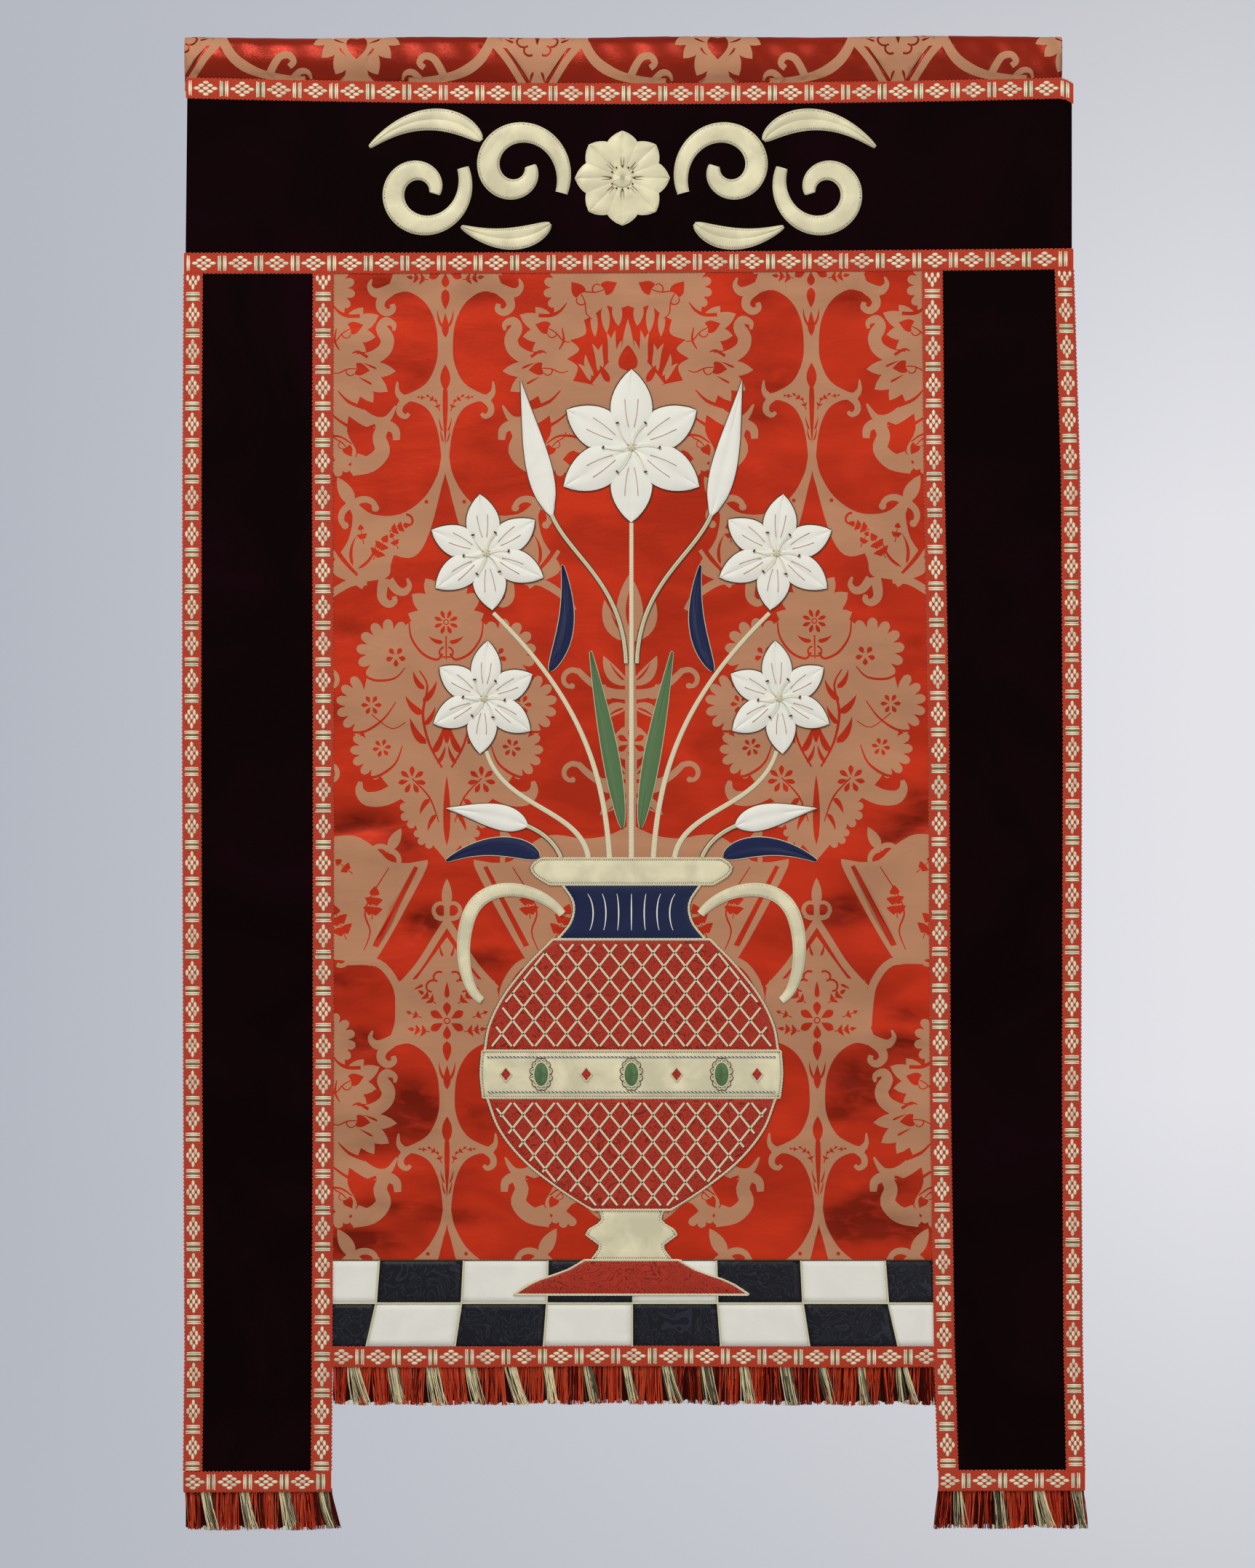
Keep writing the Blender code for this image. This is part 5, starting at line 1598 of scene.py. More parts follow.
def padded_ribbon(name, origin, line, half_width, tall, looks, slot, base=ON_CLOTH, cord=EDGE_CORD,
                  profile=ROUNDED, ties=False, stalk=0.0):
    """A padded strip along a line, with a cord round its edge and perhaps a stalk in the third look."""
    shape = Shape()
    rings = []
    along = 0.0
    stations = ribbon_edges(line, half_width)
    edges = {-1: [], 1: []}
    for i, ((x, z), across, half) in enumerate(stations):
        if i:
            along += math.dist(line[i], line[i - 1])
        ring = []
        for side, high in profile:
            px, pz = origin[0] + x + across[0] * side * half, origin[1] + z + across[1] * side * half
            ring.append(shape.point(px, -base - tall * high, pz, along, side * half))
        rings.append(ring)
        for side in (-1, 1):
            px = origin[0] + x + across[0] * side * half
            pz = origin[1] + z + across[1] * side * half
            edges[side].append((px, -base - cord * 0.6, pz))
    for i, (before, after) in enumerate(zip(rings, rings[1:])):
        look = 2 if i + 1 < stalk * len(rings) else 0
        for k in range(len(profile) - 1):
            shape.face(before[k + 1], before[k], after[k], after[k + 1], look=look)
    shape.face(*rings[0])
    shape.face(*reversed(rings[-1]))
    if cord:
        outline = edges[-1] + edges[1][::-1]
        shape.tube(even(outline, 0.0016), cord, 5, 1, CORD_LOBES, CORD_PLY)
    if ties:
        for side in (-1, 1):
            edge, inward = [], []
            for (before, across, half), (after, _, after_half) in zip(stations, stations[1:]):
                for share in (0.0, 0.25, 0.5, 0.75):
                    reach = side * (half + share * (after_half - half))
                    edge.append(tuple(
                        origin[k] + before[k] + share * (after[k] - before[k]) + across[k] * reach
                        for k in (0, 1)))
                    inward.append((-side * across[0], -side * across[1]))
            tie_stitches(shape, edge, inward, base + tall * 0.62, 2)
    return piece(f"{name}_padded", shape, looks, [name], slot)


def even(path, step):
    """The same path, with points an even step apart."""
    path = [Vector(point) for point in path]
    made = [tuple(path[0])]
    left = step
    for before, after in zip(path, path[1:]):
        run = (after - before).length
        while run >= left:
            before = before + (after - before) * (left / run)
            run -= left
            left = step
            made.append(tuple(before))
        left -= run
    made.append(tuple(path[-1]))
    return made


DOME = [(1.0, 0.0), (1.0, 0.25), (0.93, 0.5), (0.8, 0.72), (0.55, 0.88), (0.25, 0.97)]


def dome(shape, outline, centre, tall, base, look):
    """A raised shape inside an outline, with rings from its edge to its middle."""
    rings = []
    for share, high in DOME:
        rings.append([shape.point(centre[0] + x * share, -base - tall * high, centre[1] + z * share, x, z)
                      for x, z in outline])
    crown = shape.point(centre[0], -base - tall, centre[1])
    size = len(outline)
    for outer, inner in zip(rings, rings[1:]):
        for i in range(size):
            j = (i + 1) % size
            shape.face(outer[i], outer[j], inner[j], inner[i], look=look)
    for i in range(size):
        shape.face(rings[-1][i], rings[-1][(i + 1) % size], crown, look=look)
    shape.face(*reversed(rings[0]), look=look)


PetalForm = namedtuple("PetalForm", "root long half full tall crease")


def petal_pad(shape, centre, turn, form, stretch, look, cord_look, cord, base=ON_CLOTH):
    """One padded petal from near the middle of a flower to its tip, with a cord round it."""
    heading = math.radians(turn)
    along_x, along_z = math.cos(heading), math.sin(heading)
    rows, edges = [], {-1: [], 1: []}
    for t in steps(0.0, 1.0, 14):
        reach = form.root + (form.long - form.root) * t
        belly = math.sin(math.pi * min(0.06 + 0.94 * t, 1.0) ** form.full) ** 0.75
        half = form.half * (0.30 * (1 - t) + belly)
        row = []
        for side in (-1.0, -1.0, -0.85, -0.5, -0.15, 0.0, 0.15, 0.5, 0.85, 1.0, 1.0):
            x = (along_x * reach - along_z * side * half) * stretch[0]
            z = (along_z * reach + along_x * side * half) * stretch[1]
            swell = (1 - 0.75 * abs(side) ** 3) * (0.55 + 0.45 * math.sin(math.pi * min(t * 1.15, 1.0)))
            lift = form.tall * (swell - form.crease * max(0.0, 1 - abs(side) / 0.15))
            if abs(side) == 1.0 and len(row) in (0, 10):
                lift = 0.0
            row.append(shape.point(centre[0] + x, -base - lift, centre[1] + z, reach, side * half))
            if len(row) in (1, 11):
                edges[-1 if len(row) == 1 else 1].append((centre[0] + x, -base - cord * 0.6, centre[1] + z))
        rows.append(row)
    for before, after in zip(rows, rows[1:]):
        for k in range(len(before) - 1):
            shape.face(before[k], before[k + 1], after[k + 1], after[k], look=look)
    shape.face(*reversed(rows[0]), look=look)
    shape.face(*rows[-1], look=look)
    shape.tube(even(edges[-1] + edges[1][::-1], 0.0016), cord, 5, cord_look, CORD_LOBES, CORD_PLY)


def strand(shape, centre, turn, start, end, bend, lift, radius, look):
    """A thin thread laid outwards over a flower."""
    heading = math.radians(turn)
    path = []
    for t in steps(0.0, 1.0, 8):
        reach = start + (end - start) * t
        off = bend * math.sin(math.pi * t)
        path.append((centre[0] + math.cos(heading) * reach - math.sin(heading) * off, -lift,
                     centre[1] + math.sin(heading) * reach + math.cos(heading) * off))
    shape.tube(path, radius, 4, look)
    return path[-1]


# Padded work on the heading

HEADING_MIDDLE = (-0.0075, -0.1815)
HEADING_TALL = 0.0042
ROSETTE = 0.060
ROSETTE_PETALS = 8
ROSETTE_TALL = 0.0050


def rosette(silk, cord, brown):
    shape = Shape()
    form = PetalForm(0.010, ROSETTE, 0.0185, 1.45, ROSETTE_TALL, 0.30)
    for k in range(ROSETTE_PETALS):
        turn = 360.0 * k / ROSETTE_PETALS
        petal_pad(shape, HEADING_MIDDLE, turn, form, (1, 1), 0, 1, EDGE_CORD)
        for bend in (-0.0055, 0.0055):
            strand(shape, HEADING_MIDDLE, turn + bend * 900, 0.016, 0.036, 0.0,
                   ON_CLOTH + ROSETTE_TALL * 0.86, 0.0004, 2)
    middle = [(0.0125 * math.cos(2 * math.pi * k / 24), 0.0125 * math.sin(2 * math.pi * k / 24))
              for k in range(24)]
    dome(shape, middle, HEADING_MIDDLE, 0.0032, ON_CLOTH + ROSETTE_TALL * 0.55, 1)
    for k in range(12):
        angle = 2 * math.pi * k / 12
        spot = (HEADING_MIDDLE[0] + 0.0150 * math.cos(angle), -ON_CLOTH - ROSETTE_TALL * 0.80,
                HEADING_MIDDLE[1] + 0.0150 * math.sin(angle))
        shape.bead(spot, 0.0014, 0.0014, 0.0012, 2)
    return piece("rosette", shape, [silk, cord, brown], ["heading_rosette"], "gold_cream_silk")


def heading_scrollwork(silk, cord, brown):
    rosette(silk, cord, brown)
    inner = spiral((0.136, 0.012), 0.066, 0.019, 208, -190, 72)
    outer = spiral((0.258, -0.016), 0.062, 0.019, 152, 550, 72)
    high_leaf = bezier((0.180, 0.048), (0.205, 0.078), (0.262, 0.092), (0.322, 0.040), 30)
    low_leaf = bezier((0.092, -0.058), (0.120, -0.082), (0.160, -0.084), (0.205, -0.062), 26)
    for side, word in ((-1, "left"), (1, "right")):
        parts = [
            (f"heading_scroll_{word}_inner", inner, scroll_width(0.0135), ROUNDED),
            (f"heading_scroll_{word}_outer", outer, scroll_width(0.0130), ROUNDED),
            (f"heading_leaf_{word}_high", high_leaf, leaf_width(0.0135), CREASED),
            (f"heading_leaf_{word}_low", low_leaf, leaf_width(0.0135), CREASED),
        ]
        for name, line, width, profile in parts:
            padded_ribbon(name, HEADING_MIDDLE, mirrored(line, side), width, HEADING_TALL,
                          [silk, cord, brown], "gold_cream_silk", profile=profile, ties=True)


# The lily pot

VASE_TALL = 0.0030
RIM = [(-1.0490, 0.114), (-1.0580, 0.127), (-1.0700, 0.123), (-1.0820, 0.104)]
NECK = [(-1.0823, 0.088), (-1.1050, 0.074), (-1.1300, 0.077), (-1.1520, 0.094)]
SHOULDER = [(-1.1523, 0.100), (-1.1850, 0.132), (-1.2250, 0.163), (-1.2620, 0.181), (-1.2940, 0.187)]
BELLY = [(-1.2943, 0.190), (-1.3240, 0.192), (-1.3540, 0.189)]
BOWL = [(-1.3543, 0.184), (-1.3950, 0.168), (-1.4350, 0.136), (-1.4700, 0.092), (-1.4970, 0.050)]
KNOP = [(-1.4973, 0.040), (-1.5120, 0.038), (-1.5270, 0.058), (-1.5420, 0.040), (-1.5600, 0.050)]
FOOT = [(-1.5610, 0.060), (-1.5740, 0.082), (-1.5890, 0.124), (-1.6050, 0.150)]
JEWEL_ON_BELLY = (-0.115, 0.0, 0.115)
JEWEL_Z = -1.3240


def half_at(outline, z):
    """How wide a turned shape is at a height, on a smooth line through its outline."""
    for i in range(len(outline) - 1):
        (z1, h1), (z2, h2) = outline[i], outline[i + 1]
        if z >= z2 or i == len(outline) - 2:
            z0, h0 = outline[i - 1] if i else (2 * z1 - z2, 2 * h1 - h2)
            z3, h3 = outline[i + 2] if i + 2 < len(outline) else (2 * z2 - z1, 2 * h2 - h1)
            t = (z - z1) / (z2 - z1)
            slope1, slope2 = (h2 - h0) / (z2 - z0) * (z2 - z1), (h3 - h1) / (z3 - z1) * (z2 - z1)
            return ((2 * t ** 3 - 3 * t * t + 1) * h1 + (t ** 3 - 2 * t * t + t) * slope1
                    + (3 * t * t - 2 * t ** 3) * h2 + (t ** 3 - t * t) * slope2)


def turned(name, outline, tall, looks, slot, base=ON_CLOTH, trellis=False, ties=False,
           outlined=True, strokes=False):
    """A padded piece with the same outline on both sides of the axis."""
    shape = Shape()
    top, foot = outline[0][0], outline[-1][0]
    rows = []
    levels = steps(top, foot, max(round((top - foot) / 0.006), 4))
    for i, z in enumerate(levels):
        half = half_at(outline, z)
        end = min(i, len(levels) - 1 - i)
        low = 1.0 if end else 0.35
        row = []
        for side in [-1.0, -1.0, -0.97] + steps(-0.9, 0.9, 18) + [0.97, 1.0, 1.0]:
            lift = 0.25 if abs(side) == 1.0 else 0.7 if abs(side) > 0.95 else 1.0
            lift *= low
            x = AXIS + side * half
            row.append(shape.point(x, -base - tall * lift, z, x, z))
        for k in (0, -1):
            x, _, z = shape.points[row[k]]
            shape.points[row[k]] = (x, -base, z)
        rows.append(row)
    shape.grid(rows)
    edge = [(AXIS + side * half_at(outline, z), -base - 0.0008, z)
            for side, order in ((-1, levels), (1, levels[::-1])) for z in order]
    shape.tube(even(edge + edge[:1], 0.0018), 0.0016, 6, 1, 0.22, 0.0045)
    if outlined:
        for side in (-1, 1):
            line = [(AXIS + side * (half_at(outline, z) + 0.0019), -base - 0.0003, z) for z in levels[1:-1]]
            shape.tube(line, 0.0006, 4, 2)
    if strokes:
        for number in range(-3, 4):
            line = []
            for z in levels[2:-2]:
                share = (z - foot) / (top - foot)
                x = number / 4.2 * half_at(outline, z) * (0.86 + 0.14 * share)
                line.append((AXIS + x, -base - tall - 0.0002, z))
            shape.tube(line, lambda t: 0.0004 + 0.0007 * math.sin(math.pi * t), 4, 3)
    if trellis:
        lay_trellis(shape, outline, base + tall, 1)
    if ties:
        points = even(edge + edge[:1], 0.0007)
        flat = [(x, z) for x, _, z in points]
        inward = []
        for i, (x, z) in enumerate(flat):
            before, after = flat[max(i - 3, 0)], flat[min(i + 3, len(flat) - 1)]
            run = max(math.dist(before, after), 1e-9)
            inward.append(((before[1] - after[1]) / run, (after[0] - before[0]) / run))
        tie_stitches(shape, flat, inward, base + tall * 0.8, 2)
    return piece(f"{name}_padded", shape, looks, [name], slot)


TRELLIS_PITCH = 0.0215
TRELLIS_SLOPE = 1.25
TRELLIS_HALF = 0.0015
TRELLIS_MARGIN = 0.006
TRELLIS_MIDDLE = -1.324


def lay_trellis(shape, outline, lift, look):
    """Crossing diagonal strips inside a turned outline, tied down where they cross."""
    top, foot = outline[0][0] - TRELLIS_MARGIN, outline[-1][0] + TRELLIS_MARGIN
    widest = max(half for _, half in outline)
    pitch = TRELLIS_PITCH * math.hypot(1.0, 1 / TRELLIS_SLOPE)
    count = int((2 * widest + (top - foot) / TRELLIS_SLOPE) / pitch) + 2
    for lean, above in ((1, 0.0), (-1, 0.0005)):
        for number in range(-count, count + 1):
            run = []
            for z in steps(top, foot, max(round((top - foot) / 0.0035), 3)):
                x = (number + 0.5) * pitch + lean * (z - TRELLIS_MIDDLE) / TRELLIS_SLOPE
                if abs(x) < half_at(outline, z) - TRELLIS_MARGIN:
                    run.append((AXIS + x, -lift - 0.0003 - above, z))
            if len(run) > 2:
                shape.tube(run, TRELLIS_HALF, 6, look, 0.0, 0.003, 0.45)
    drop = pitch / 2 * TRELLIS_SLOPE
    for row in range(int((top - foot) / drop) + 2):
        z = TRELLIS_MIDDLE + (math.floor((top - TRELLIS_MIDDLE) / drop) - row) * drop
        if not foot < z < top:
            continue
        level_number = round((z - TRELLIS_MIDDLE) / drop)
        for number in range(-count, count + 1):
            x = (number + 0.5 * (level_number % 2 == 0)) * pitch
            if abs(x) < half_at(outline, z) - TRELLIS_MARGIN:
                shape.bead((AXIS + x, -lift - 0.0011, z), 0.0017, 0.0017, 0.0008, 2, math.pi / 4, 4)


JEWEL_LOOPS = 12
JEWEL_HALF = (0.0088, 0.0150)
JEWEL_TALL = 0.0040


def jewel(name, centre, looks):
    """A padded oval in a ring of cord, with small loops of cord round it."""
    shape = Shape()
    base = ON_CLOTH + VASE_TALL + GAP
    oval = [(JEWEL_HALF[0] * math.cos(math.radians(turn)), JEWEL_HALF[1] * math.sin(math.radians(turn)))
            for turn in range(0, 360, 10)]
    dome(shape, oval, centre, JEWEL_TALL, base, 0)
    ring = [(centre[0] + x * 1.06, -base - 0.0010, centre[1] + z * 1.04) for x, z in oval]
    shape.tube(even(ring + ring[:1], 0.0014), 0.0010, 5, 1, CORD_LOBES, CORD_PLY)
    for k in range(JEWEL_LOOPS):
        angle = 2 * math.pi * (k + 0.5) / JEWEL_LOOPS
        x = centre[0] + (JEWEL_HALF[0] + 0.0016) * math.cos(angle)
        z = centre[1] + (JEWEL_HALF[1] + 0.0016) * math.sin(angle)
        out = math.atan2(math.sin(angle) / JEWEL_HALF[1], math.cos(angle) / JEWEL_HALF[0])
        path = []
        for turn in range(-110, 111, 22):
            spot = out + math.radians(turn)
            path.append((x + 0.0031 * math.cos(spot), -base - 0.0009, z + 0.0031 * math.sin(spot)))
        shape.tube(path, 0.0008, 5, 1)
        line = []
        for turn in range(-100, 101, 25):
            spot = out + math.radians(turn)
            line.append((x + 0.0044 * math.cos(spot), -base - 0.0002, z + 0.0044 * math.sin(spot)))
        shape.tube(line, 0.00065, 4, 2)
    return piece(f"{name}_padded", shape, looks, [name], "green_satin")


def belly_squares(looks):
    """Small red squares with a cord round them, between the jewels."""
    shape = Shape()
    base = ON_CLOTH + VASE_TALL
    for x in (-0.160, -0.0575, 0.0575, 0.160):
        diamond = ((0.0075, 0), (0, 0.0095), (-0.0075, 0), (0, -0.0095))
        corners = [(AXIS + x + dx, JEWEL_Z + dz) for dx, dz in diamond]
        edge = [(cx, -base - 0.0008, cz) for cx, cz in corners]
        shape.face(*[shape.point(cx, -base - 0.0010, cz, cx, cz) for cx, cz in reversed(corners)], look=0)
        shape.tube(even(edge + edge[:1], 0.0016), 0.0011, 5, 1, 0.2, 0.0035)
    for z in (BELLY[0][0] - 0.0075, BELLY[-1][0] + 0.0075):
        half = half_at(BELLY, z) - 0.007
        path = [(AXIS + x, -base - 0.0006, z) for x in steps(-half, half, 20)]
        shape.tube(even(path, 0.0012), 0.0011, 8, 2, twist=3)
    return piece("belly_squares", shape, looks, None, "gold_cream_silk")


def vase(gold, brocade, navy, green, cord, brown, ivory, black):
    turned("vase_rim", RIM, VASE_TALL, [gold, cord, brown], "gold_cream_silk", ties=True)
    turned("vase_neck", NECK, VASE_TALL, [navy, cord, brown, ivory], "navy_silk", strokes=True)
    turned("vase_shoulder", SHOULDER, VASE_TALL, [brocade, cord, brown], "red_brocade", trellis=True)
    turned("vase_belly_band", BELLY, VASE_TALL, [gold, cord, brown], "gold_cream_silk", ties=True)
    turned("vase_bowl", BOWL, VASE_TALL, [brocade, cord, brown], "red_brocade", trellis=True)
    turned("vase_knop", KNOP, VASE_TALL, [gold, cord, brown], "gold_cream_silk", ties=True)
    turned("vase_foot", FOOT, VASE_TALL, [brocade, cord, brown], "red_brocade", ON_BAND)
    handle = bezier((0.088, -1.120), (0.115, -1.085), (0.190, -1.070), (0.208, -1.125), 30)
    handle += bezier((0.208, -1.125), (0.220, -1.160), (0.214, -1.215), (0.191, -1.230), 22)[1:]
    for side, word in ((-1, "left"), (1, "right")):
        line = mirrored(handle, side)
        padded_ribbon(f"vase_handle_{word}", (AXIS, 0.0), line, scroll_width(0.0085), VASE_TALL,
                      [gold, cord, brown], "gold_cream_silk", ties=True)
    for number, x in enumerate(JEWEL_ON_BELLY, 1):
        jewel(f"jewel_{number}", (AXIS + x, JEWEL_Z), [green, cord, brown])
    belly_squares([brocade, cord, ivory, black])


# Flowers, buds, stems and leaves

LilyRow = namedtuple("LilyRow", "name x z radius turn wide tall")
LILIES = [
    LilyRow("lily_centre", 0.000, -0.525, 0.100, 90, 1.00, 1.00),
    LilyRow("lily_left_high", -0.185, -0.660, 0.080, 96, 1.00, 0.95),
    LilyRow("lily_right_high", 0.185, -0.660, 0.080, 84, 1.00, 0.95),
    LilyRow("lily_left_low", -0.188, -0.845, 0.074, 86, 0.97, 1.00),
    LilyRow("lily_right_low", 0.188, -0.845, 0.074, 94, 0.97, 1.00),
]
LILY_TALL = 0.0045
POT_MOUTH = -1.0475
STEM_HALF = 0.0034
STEM_THICKNESS = 0.001
CENTRE_STEM_TOP = -0.6200
BUD_TALL = 0.0034
BUD_STALK = 0.0026
BUD_HALF = 0.0145
LEAF_TALL = 0.0026


def stem_width(t):
    return STEM_HALF - 0.0008 * t


def lily(row, looks):
    """Three petals over three others, with veins, and stamens in the middle."""
    shape = Shape()
    centre = (AXIS + row.x, row.z)
    stretch = (row.wide, row.tall)
    size = row.radius
    for tall, first in ((0.72, 60), (1.0, 0)):
        for k in range(3):
            turn = row.turn + first + 120 * k
            form = PetalForm(0.04 * size, size * (1.0 if first == 0 else 0.96), 0.235 * size, 1.15,
                             LILY_TALL * tall, 0.34)
            petal_pad(shape, centre, turn, form, stretch, 0, 1, 0.0009)
            for off in (-13, 13):
                strand(shape, centre, turn + off * 0.6, 0.26 * size, 0.62 * size,
                       0.01 * size * math.copysign(1, off), ON_CLOTH + LILY_TALL * tall * 0.97, 0.00048, 3)
    for k in range(6):
        turn = row.turn + 30 + 60 * k
        tip = strand(shape, centre, turn, 0.0, 0.36 * size, 0.03 * size, ON_CLOTH + LILY_TALL + 0.0006,
                     0.00055, 2)
        shape.bead(tip, 0.0026, 0.0014, 0.0012, 1, math.radians(turn + 70))
    shape.bead((centre[0], -ON_CLOTH - LILY_TALL * 0.7, centre[1]), 0.0042, 0.0042, 0.0024, 2, sides=10)
    return piece(f"{row.name}_petals", shape, looks, [row.name], "ivory_silk")


def lilies(ivory, gold, green, navy, brown, vein):
    for row in LILIES:
        lily(row, [ivory, brown, gold, vein])
    high_stem = bezier((0.028, POT_MOUTH), (0.035, -0.930), (0.070, -0.840), (0.176, -0.736), 30)
    low_stem = bezier((0.055, POT_MOUTH), (0.065, -0.985), (0.165, -0.985), (0.185, -0.912), 26)
    high_bud = bezier((0.007, -0.800), (0.010, -0.690), (0.090, -0.660), (0.106, -0.598), 28)
    high_bud += bezier((0.106, -0.598), (0.116, -0.560), (0.128, -0.510), (0.141, -0.440), 24)[1:]
    side_bud = bezier((0.090, POT_MOUTH), (0.105, -1.010), (0.150, -0.995), (0.236, -0.985), 44)
    low_leaf = bezier((0.0115, -1.010), (0.021, -0.940), (0.034, -0.880), (0.052, -0.785), 32)
    high_leaf = bezier((0.104, -0.810), (0.085, -0.775), (0.075, -0.740), (0.088, -0.675), 32)
    side_leaf = bezier((0.118, POT_MOUTH), (0.135, -1.035), (0.180, -1.022), (0.236, -1.052), 32)
    origin = (AXIS, 0.0)
    centre_stem = [(0.0, z) for z in steps(POT_MOUTH, CENTRE_STEM_TOP, 40)]
    padded_ribbon("stem_centre", origin, centre_stem, stem_width, STEM_THICKNESS, [gold], "gold_cream_silk",
                  cord=0.0)
    for side, word in ((-1, "left"), (1, "right")):
        for place, line in (("high", high_stem), ("low", low_stem)):
            padded_ribbon(f"stem_{word}_{place}", origin, mirrored(line, side), stem_width, STEM_THICKNESS,
                          [gold], "gold_cream_silk", cord=0.0)
        for place, line, swell in (("high", high_bud, 0.50), ("side", side_bud, 0.48)):
            padded_ribbon(f"bud_{word}_{place}", origin, mirrored(line, side),
                          bud_width(BUD_STALK, BUD_HALF, swell), BUD_TALL, [ivory, brown, gold],
                          "ivory_silk", cord=0.0008, profile=CREASED, stalk=swell)
        leaves = (
            ("low", low_leaf, 0.0105, green, "green_satin"),
            ("high", high_leaf, 0.0105, navy, "navy_silk"),
            ("side", side_leaf, 0.0125, navy, "navy_silk"),
        )
        for place, line, widest, look, slot in leaves:
            padded_ribbon(f"leaf_{word}_{place}", origin, mirrored(line, side), leaf_width(widest),
                          LEAF_TALL, [look, gold], slot, cord=0.0007, profile=CREASED)


# Camera, light and floor


def lamp(name, place, aim, size, power, colour=(1, 1, 1)):
    data = bpy.data.lights.new(name, "AREA")
    data.shape = "RECTANGLE"
    data.size, data.size_y = size
    data.energy = power
    data.color = colour
    made = bpy.data.objects.new(name, data)
    made.location = place
    made.rotation_euler = (Vector(aim) - Vector(place)).to_track_quat("-Z", "Y").to_euler()
    bpy.context.scene.collection.objects.link(made)


BACKDROP_LEFT = (0.430, 0.460, 0.520)
BACKDROP_RIGHT = (0.770, 0.770, 0.810)
BACKDROP_EDGE = (0.470, 0.485, 0.530)
ROOM = (0.300, 0.305, 0.320)


def studio_air():
    """A pale backdrop behind the banner, brighter to the right and at mid height, in a dimmer room."""
    world = bpy.data.worlds.new("studio")
    world.use_nodes = True
    tree = world.node_tree

    def ramp(value, low, high):
        node = tree.nodes.new("ShaderNodeMapRange")
        node.inputs["From Min"].default_value = low
        node.inputs["From Max"].default_value = high
        tree.links.new(value, node.inputs["Value"])
        return node.outputs["Result"]

    def mix(share, first, second):
        node = tree.nodes.new("ShaderNodeMix")
        node.data_type = "RGBA"
        tree.links.new(share, node.inputs[0])
        for socket, value in ((6, first), (7, second)):
            if isinstance(value, tuple):
                node.inputs[socket].default_value = (*value, 1.0)
            else:
                tree.links.new(value, node.inputs[socket])
        return node.outputs[2]

    place = tree.nodes.new("ShaderNodeTexCoord").outputs["Generated"]
    split = tree.nodes.new("ShaderNodeSeparateXYZ")
    tree.links.new(place, split.inputs[0])
    backdrop = mix(ramp(split.outputs["X"], -0.15, 0.12), BACKDROP_LEFT, BACKDROP_RIGHT)
    height = tree.nodes.new("ShaderNodeMath")
    height.operation = "ADD"
    tree.links.new(split.outputs["Z"], height.inputs[0])
    height.inputs[1].default_value = 0.005
    from_middle = tree.nodes.new("ShaderNodeMath")
    from_middle.operation = "ABSOLUTE"
    tree.links.new(height.outputs[0], from_middle.inputs[0])
    backdrop = mix(ramp(from_middle.outputs[0], 0.06, 0.24), backdrop, BACKDROP_EDGE)
    air = mix(ramp(split.outputs["Y"], 0.0, 0.85), ROOM, backdrop)
    tree.links.new(air, tree.nodes["Background"].inputs["Color"])
    return world


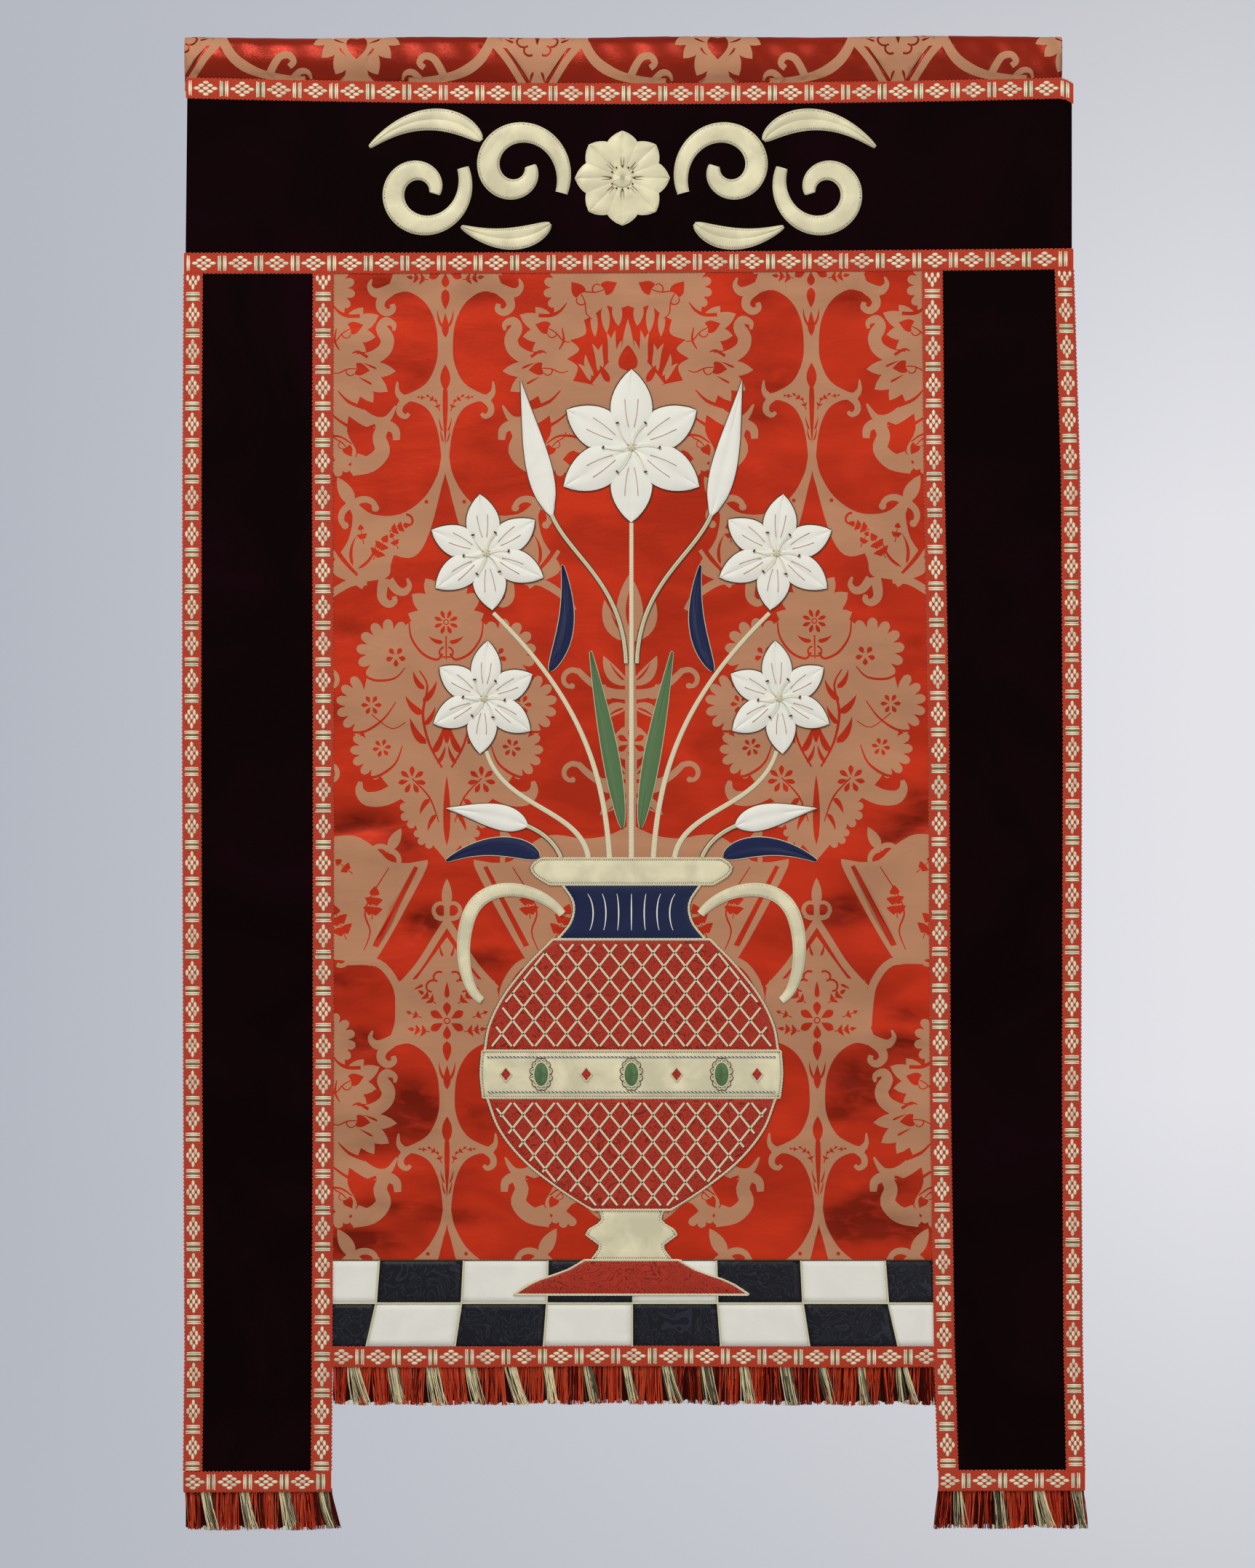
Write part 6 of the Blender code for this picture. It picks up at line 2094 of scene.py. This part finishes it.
def studio():
    data = bpy.data.cameras.new("camera")
    data.sensor_width = 36.0
    data.lens = 108.0
    camera = bpy.data.objects.new("camera", data)
    camera.location = (-0.001, -6.0, -0.954)
    camera.rotation_euler = (math.pi / 2, 0.0, 0.0)
    bpy.context.scene.collection.objects.link(camera)
    bpy.context.scene.camera = camera

    bpy.context.scene.world = studio_air()
    bpy.context.scene.view_settings.view_transform = "Standard"
    lamp("key", (-1.7, -4.0, 3.0), (0.0, 0.0, -1.0), (1.5, 1.5), 190, (1.0, 0.97, 0.92))
    lamp("fill", (2.3, -3.6, -1.0), (0.0, 0.0, -1.1), (1.6, 2.0), 34, (1.0, 0.97, 0.93))

    points = []
    sides = 96
    for k in range(sides):
        angle = 2 * math.pi * k / sides
        points.append((4.0 * math.cos(angle), 4.0 * math.sin(angle), 0.0))
    mesh = bpy.data.meshes.new("floor")
    mesh.from_pydata(points, [], [tuple(range(sides))])
    look = Look("floor_paint", (0.62, 0.63, 0.66), 0.8)
    mesh.materials.append(look.material)
    floor = bpy.data.objects.new("floor", mesh)
    floor.location = (0.0, 0.0, -3.1)
    bpy.context.scene.collection.objects.link(floor)


def main():
    red = damask_look("damask_red", RED, 0.40, 0.75, 0.95)
    sleeve_red = damask_look("sleeve_red", darker(RED, 0.42), 0.30, 1.0, 0.95, ior=2.3)
    fawn = damask_look("damask_fawn", FAWN, 0.62, 0.25, 0.22)
    velvet = velvet_look()
    braid_red = braid_look("braid_red", BRAID_RED, darker(BRAID_RED, 0.45))
    loops = thread_look("braid_loops", (0.60, 0.11, 0.065), 0.55)
    cream = thread_look("braid_cream", CREAM, 0.55, pitch=0.0008)
    olive = thread_look("braid_olive", OLIVE, 0.6, pitch=0.0008)
    gold = silk_look("gold_cream", GOLD_CREAM, 0.36, 0.8, 0.74)
    gold_cord = thread_look("gold_cord", GOLD_CREAM, 0.4, pitch=0.0016, depth=1.0)
    ivory = silk_look("ivory", IVORY, 0.6, 0.3, 0.94)
    brocade = brocade_look("brocade", BROCADE, darker(BROCADE, 0.42), scale=26.0)
    navy = silk_look("navy", NAVY, 0.5)
    green = stitch_look("green_stitch", GREEN)
    navy_stitch = stitch_look("navy_stitch", darker(NAVY, 1.3))
    black = brocade_look("patch_black", PATCH_BLACK, (0.020, 0.022, 0.036), 0.42, 15.0)
    brown = thread_look("brown_thread", BROWN, 0.6)
    vein = thread_look("vein_thread", FAWN, 0.6)

    heading, lappets = velvet_panels(velvet, lining_look())
    panel = damask_panel(red, fawn)
    loop = sleeve(sleeve_red, fawn)
    braids([braid_red, loops, cream, olive])
    threads = fringes()
    pavement(ivory, black, gold_cord, brown)
    heading_scrollwork(gold, gold_cord, brown)
    vase(gold, brocade, navy, green, gold_cord, brown, ivory, black)
    lilies(ivory, gold_cord, green, navy_stitch, brown, vein)

    studio()


main()
